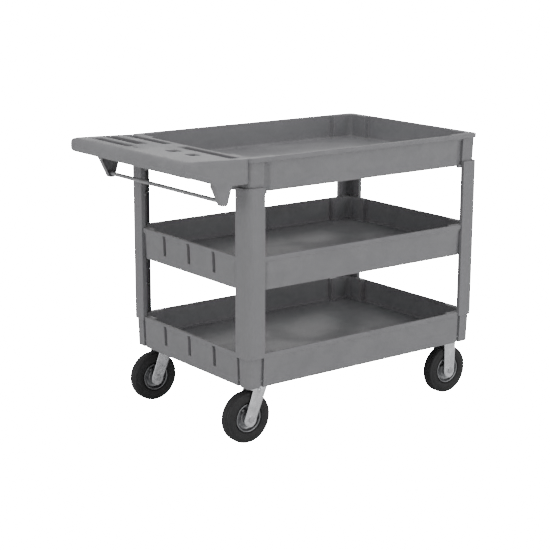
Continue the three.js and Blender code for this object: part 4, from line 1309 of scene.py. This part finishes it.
def make_mount(corner):
    """Plate, race and kingpin of one swivel caster."""
    node = f"caster_plate_{corner}"
    low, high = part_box(node)
    shell = Shell()
    shell.rounded_box(low, high, PLATE_CORNER, PLATE_EDGE)
    for number in (1, 2, 3, 4):
        spot = foot_of(*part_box(f"caster_bolt_{corner}_{number}"))
        spot.z = low.z
        shell.lathe([(5 * MM, 0.3 * MM), (9.5 * MM, 0.3 * MM), (9 * MM, -0.35 * MM), (5 * MM, -0.35 * MM)],
                    spot, UP, 32, closed=True)
    add_piece(shell, f"{node}_pressing", "zinc", FRAME_BODY, "zinc_steel", node)

    node = f"swivel_race_{corner}"
    low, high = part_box(node)
    outer, tall = (high.x - low.x) / 2, high.z - low.z
    inner = outer - 22 * MM
    profile = [(inner, 0), (outer * 0.82, 0), (outer * 0.86, tall * 0.12), (outer * 0.97, tall * 0.2)]
    for a, b in ((1, 0.3), (1, 0.5), (0.975, 0.62), (0.99, 0.7), (0.97, 0.85), (0.88, 0.94)):
        profile.append((outer * a, tall * b))
    race = Shell()
    race.lathe(profile + [(outer * 0.8, tall), (inner, tall)], foot_of(low, high), UP, 64, closed=True)
    add_piece(race, f"{node}_pressing", "zinc", FRAME_BODY, "zinc_steel", node)

    node = f"kingpin_{corner}"
    low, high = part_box(node)
    head = (high.x - low.x) / 2
    tall = high.z - low.z
    pin = Shell()
    profile = [(0, 0), (head * 0.55, 0), (head * 0.85, 0.9 * MM), (head, 2.4 * MM), (head, 5 * MM)]
    profile += [(7 * MM, 5 * MM), (7 * MM, tall - 1 * MM), (6 * MM, tall), (0, tall)]
    pin.lathe(profile, foot_of(low, high), UP, 40)
    add_piece(pin, f"{node}_steel", "bolt", FRAME_BODY, "fastener_steel", node)


def make_bolts(corner):
    for number in (1, 2, 3, 4):
        node = f"caster_bolt_{corner}_{number}"
        low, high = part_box(node)
        centre = foot_of(low, high)
        tall = high.z - low.z
        across = min(high.x - low.x, high.y - low.y)
        shell = Shell()
        shell.lathe([(0, 4 * MM), (4 * MM, 4 * MM), (4 * MM, tall - 0.6 * MM), (3.4 * MM, tall), (0, tall)],
                    centre, UP, 24)
        shell.hexagon(across, (centre.x, centre.y, low.z + WASHER), (0, 0, -1), 1.2 * MM, WASHER)
        washer = [(0, 4.1 * MM), (7.4 * MM, 4.1 * MM), (7.4 * MM, 5.1 * MM), (6.9 * MM, WASHER), (0, WASHER)]
        shell.lathe(washer, centre, UP, 32)
        add_piece(shell, f"{node}_steel", "bolt", FRAME_BODY, "fastener_steel", node, 25)


class CART_OT_caster_mounts(bpy.types.Operator):
    """Makes the caster plates, races, kingpins and bolts"""

    bl_idname = "cart.caster_mounts"
    bl_label = "Caster mounts"

    def execute(self, context):
        for corner in REAR:
            make_mount(corner)
        for corner in CORNERS:
            make_bolts(corner)
        return {"FINISHED"}


class CART_OT_forks(bpy.types.Operator):
    """Presses the four caster forks"""

    bl_idname = "cart.forks"
    bl_label = "Forks"

    def execute(self, context):
        for corner in CORNERS:
            make_fork(corner)
        return {"FINISHED"}


def make_axle(corner):
    body = f"swivel_{corner}" if corner in REAR else FRAME_BODY
    low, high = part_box(f"axle_{corner}")
    centre = Vector(((low.x + high.x) / 2, low.y, (low.z + high.z) / 2))
    across = min(high.x - low.x, high.z - low.z)
    shell = Shell()
    tall = high.y - low.y
    shell.lathe([(0, 5 * MM), (5 * MM, 5 * MM), (5 * MM, tall - 1 * MM), (4.2 * MM, tall), (0, tall)],
                centre, ACROSS, 32)
    head_top = centre + Vector((0, 6 * MM, 0))
    shell.hexagon(across, head_top, (0, -1, 0), 1.0 * MM, 6 * MM, 0.16)
    shell.lathe([(0, 5 * MM), (9.4 * MM, 5 * MM), (9.4 * MM, 5.8 * MM), (8.8 * MM, 6 * MM), (0, 6 * MM)],
                centre, ACROSS, 40)
    add_piece(shell, f"axle_bolt_{corner}", "bolt", body, "fastener_steel", f"axle_{corner}", 25)
    low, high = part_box(f"axle_nut_{corner}")
    centre = Vector(((low.x + high.x) / 2, low.y, (low.z + high.z) / 2))
    tall = high.y - low.y
    nut = Shell()
    nut.hexagon(across, centre, ACROSS, 0.2 * MM, tall * 0.8, 0.16)
    nut.lathe([(0, tall * 0.6), (7.2 * MM, tall * 0.6), (7.2 * MM, tall * 0.93), (6.4 * MM, tall), (0, tall)],
              centre, ACROSS, 40)
    add_piece(nut, f"axle_lock_nut_{corner}", "bolt", body, "fastener_steel", f"axle_nut_{corner}", 25)


def tyre_profile(seat, radius, half, ring_depth):
    """Half of a tyre's section, from the seat out to the crown, with fine rings on its side."""
    points = [(seat, half * 0.3), (seat, half * 0.58)]
    points += [(seat + 0.8 * MM, half * 0.66), (seat + 3 * MM, half * 0.8)]
    low, high = seat + 4 * MM, radius - 5.5 * MM
    steps = 44
    for i in range(steps + 1):
        t = i / steps
        r = low + (high - low) * t
        bulge = 0.86 + 0.14 * math.sin(math.pi * min(1.0, t / 0.92)) - 0.05 * smooth_step(t, 0.62, 1.12)
        band = smooth_step(t, 0.06, 0.12) * (1 - smooth_step(t, 0.84, 0.9))
        ripple = ring_depth * band * (0.5 + 0.5 * math.cos(2 * math.pi * t * 7))
        points.append((r, half * min(1.0, bulge) - ripple))
    edge = points[-1][1]
    for turn in (25, 50, 75):
        angle = math.radians(turn)
        points.append((high + 4.6 * MM * math.sin(angle), edge - 5 * MM * (1 - math.cos(angle))))
    crown = ((0.35, 0.48), (1.1, 0.45), (1.1, 0.39), (0.1, 0.36), (0, 0.1))
    return points + [(radius - drop * MM, half * share_) for drop, share_ in crown]


def rim_profile():
    """Half of a wheel disc's section: hub, dished disc and rolled lip."""
    hub = [(13.3, 21.5), (16.3, 21.5), (17, 20.8), (17, 9.6)]
    dish = [(17.8, 7.6), (19.6, 6.4), (22, 5.9), (31, 5.4), (34.4, 6.0), (36.6, 8.2), (38.0, 12.0)]
    lip = [(38.8, 15.0), (40.2, 16.7), (42.2, 17.0), (43.4, 16.3), (43.9, 15.0), (44, 8)]
    return [(r * MM, h * MM) for r, h in hub + dish + lip]


def make_wheel(corner):
    s = bpy.context.scene.cart_casters
    body = f"wheel_{corner}"
    low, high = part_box(f"tyre_{corner}")
    centre = (low + high) / 2
    radius = centre.z
    half = (high.y - low.y) / 2

    tyre = Shell()
    side = tyre_profile(s.seat + GAP, radius, half, s.ring_depth)
    tyre.lathe(mirrored(side), centre, ACROSS, s.segments, closed=True)
    add_piece(tyre, f"tyre_rubber_{corner}", "rubber", body, "tyre_rubber", f"tyre_{corner}", 45)

    rim = Shell()
    rim.lathe(mirrored(rim_profile()), centre, ACROSS, s.segments, closed=True)
    for sign in (-1, 1):
        for number in range(5):
            angle = math.radians(72 * number + 20)
            away = (RIVET_CIRCLE * math.cos(angle), sign * RIVET_SEAT, RIVET_CIRCLE * math.sin(angle))
            rivet(rim, centre + Vector(away), (0, sign, 0), 2.6 * MM, 1.6 * MM)
    stem = centre + Vector((-19 * MM, -6 * MM, 25 * MM))
    rim.lathe([(0, -2 * MM), (4.4 * MM, -2 * MM), (4.4 * MM, 8.6 * MM), (3.8 * MM, 9.8 * MM), (0, 10.4 * MM)],
              stem, (0, -1, 0), 24)
    add_piece(rim, f"wheel_disc_{corner}", "disc", body, "wheel_steel", f"wheel_rim_{corner}", 45)

    low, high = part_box(f"hub_bearing_{corner}")
    tall = (high.y - low.y) / 2
    sunk = tall - 0.7 * MM
    profile = [(SLEEVE_BORE, tall), (SLEEVE_BORE + 2 * MM, tall), (SLEEVE_BORE + 2.4 * MM, sunk)]
    profile += [(SLEEVE_OUTER - 2 * MM, sunk), (SLEEVE_OUTER - 1.6 * MM, tall)]
    profile += [(SLEEVE_OUTER - 0.4 * MM, tall), (SLEEVE_OUTER, tall - 0.4 * MM)]
    sleeve = Shell()
    sleeve.lathe(mirrored(profile), centre, ACROSS, 48, closed=True)
    add_piece(sleeve, f"hub_sleeve_{corner}", "bolt", body, "fastener_steel", f"hub_bearing_{corner}", 35)


class CART_OT_wheels(bpy.types.Operator):
    """Makes the tyres, wheel discs, bearings and axle bolts"""

    bl_idname = "cart.wheels"
    bl_label = "Wheels"

    def execute(self, context):
        for corner in CORNERS:
            make_wheel(corner)
            make_axle(corner)
        return {"FINISHED"}


# ---- Studio ------------------------------------------------------------------------------------
def area_light(name, place, target, size, power):
    data = bpy.data.lights.new(name, "AREA")
    data.shape = "RECTANGLE"
    data.size, data.size_y = size
    data.energy = power
    lamp = bpy.data.objects.new(name, data)
    lamp.location = place
    lamp.rotation_mode = "QUATERNION"
    lamp.rotation_quaternion = (Vector(target) - Vector(place)).to_track_quat("-Z", "Y")
    bpy.context.scene.collection.objects.link(lamp)


def studio_floor(tone):
    """A wide flat floor, white to the camera and pale to the light."""
    half, size = 30.0, 8
    steps = [-half + 2 * half * i / size for i in range(size + 1)]
    points = [(x, y, 0.0) for x in steps for y in steps]
    faces = []
    for i in range(size):
        for j in range(size):
            base = i * (size + 1) + j
            faces.append((base, base + size + 1, base + size + 2, base + 1))
    mesh = bpy.data.meshes.new("studio floor")
    mesh.from_pydata(points, [], faces)
    material_, n, shader = new_material("studio floor")
    shader.inputs["Roughness"].default_value = 0.9
    shader.inputs["Specular IOR Level"].default_value = 0.1
    coordinates = n.object_space()
    cloud = n.noise(coordinates, 0.6, 2.0)
    n.link(n.mix(cloud, tinted(tuple(tone), 0.99), tuple(tone)), shader.inputs["Base Color"])
    glow = n.add("ShaderNodeEmission")
    glow.inputs["Strength"].default_value = FLOOR_GLOW
    blend = n.add("ShaderNodeMixShader")
    path = n.add("ShaderNodeLightPath")
    n.link(n.times(path.outputs["Is Camera Ray"], FLOOR_MIX), blend.inputs[0])
    n.link(shader.outputs[0], blend.inputs[1])
    n.link(glow.outputs[0], blend.inputs[2])
    output = [node for node in n.tree.nodes if node.type == "OUTPUT_MATERIAL"][0]
    n.link(blend.outputs[0], output.inputs["Surface"])
    mesh.materials.append(material_)
    floor = bpy.data.objects.new("studio_floor", mesh)
    bpy.context.scene.collection.objects.link(floor)


def studio_world():
    """White to the camera, and a soft even light on the cart."""
    world = bpy.data.worlds.new("studio")
    world.use_nodes = True
    bpy.context.scene.world = world
    n = Nodes(world.node_tree)
    path = n.add("ShaderNodeLightPath")
    blend = n.add("ShaderNodeMixShader")
    n.link(path.outputs["Is Camera Ray"], blend.inputs[0])
    for socket, strength in ((1, WORLD_LIGHT), (2, WORLD_SEEN)):
        background = n.add("ShaderNodeBackground")
        background.inputs["Color"].default_value = (1.0, 1.0, 1.0, 1.0)
        background.inputs["Strength"].default_value = strength
        n.link(background.outputs[0], blend.inputs[socket])
    output = n.add("ShaderNodeOutputWorld")
    n.link(blend.outputs[0], output.inputs["Surface"])


def studio_camera(s):
    data = bpy.data.cameras.new("camera")
    data.lens = s.lens
    data.sensor_width = SENSOR_WIDTH
    data.shift_x, data.shift_y = CAMERA_SHIFT
    data.clip_end = 100.0
    camera = bpy.data.objects.new("camera", data)
    turn = Matrix.Rotation(s.azimuth, 4, "Z") @ Matrix.Rotation(math.pi / 2 - s.elevation, 4, "X")
    camera.matrix_world = Matrix.Translation(s.place) @ turn @ Matrix.Rotation(s.roll, 4, "Z")
    bpy.context.scene.collection.objects.link(camera)
    bpy.context.scene.camera = camera


class CART_OT_studio(bpy.types.Operator):
    """Sets up the floor, the light and the camera"""

    bl_idname = "cart.studio"
    bl_label = "Studio"

    def execute(self, context):
        s = context.scene.cart_studio
        studio_world()
        studio_floor(s.floor_tone)
        for light in LIGHTS:
            area_light(*light)
        studio_camera(s)
        return {"FINISHED"}


# ---- Add-on ------------------------------------------------------------------------------------
OPERATORS = (
    CART_OT_trays,
    CART_OT_handle,
    CART_OT_legs,
    CART_OT_brace_rod,
    CART_OT_caster_mounts,
    CART_OT_forks,
    CART_OT_wheels,
    CART_OT_studio,
)
SETTINGS = {
    "cart_trays": CartTraySettings,
    "cart_legs": CartLegSettings,
    "cart_handle": CartHandleSettings,
    "cart_casters": CartCasterSettings,
    "cart_finish": CartFinishSettings,
    "cart_studio": CartStudioSettings,
}


class CART_PT_panel(bpy.types.Panel):
    """Lists the cart's pieces in the 3D view's sidebar"""

    bl_label = "Rolling utility cart"
    bl_idname = "CART_PT_panel"
    bl_space_type = "VIEW_3D"
    bl_region_type = "UI"
    bl_category = "Cart"

    def draw(self, context):
        for name, group_class in SETTINGS.items():
            box = self.layout.box()
            for key in group_class.__annotations__:
                box.prop(getattr(context.scene, name), key)
        for operator in OPERATORS:
            self.layout.operator(operator.bl_idname)


def register():
    for name, group_class in SETTINGS.items():
        bpy.utils.register_class(group_class)
        setattr(bpy.types.Scene, name, PointerProperty(type=group_class))
    for operator in OPERATORS:
        bpy.utils.register_class(operator)
    bpy.utils.register_class(CART_PT_panel)


def unregister():
    bpy.utils.unregister_class(CART_PT_panel)
    for operator in reversed(OPERATORS):
        bpy.utils.unregister_class(operator)
    for name, group_class in SETTINGS.items():
        delattr(bpy.types.Scene, name)
        bpy.utils.unregister_class(group_class)


def main():
    register()
    bpy.ops.cart.trays()
    bpy.ops.cart.handle()
    bpy.ops.cart.legs()
    bpy.ops.cart.brace_rod()
    bpy.ops.cart.caster_mounts()
    bpy.ops.cart.forks()
    bpy.ops.cart.wheels()
    bpy.ops.cart.studio()


if __name__ == "__main__":
    main()
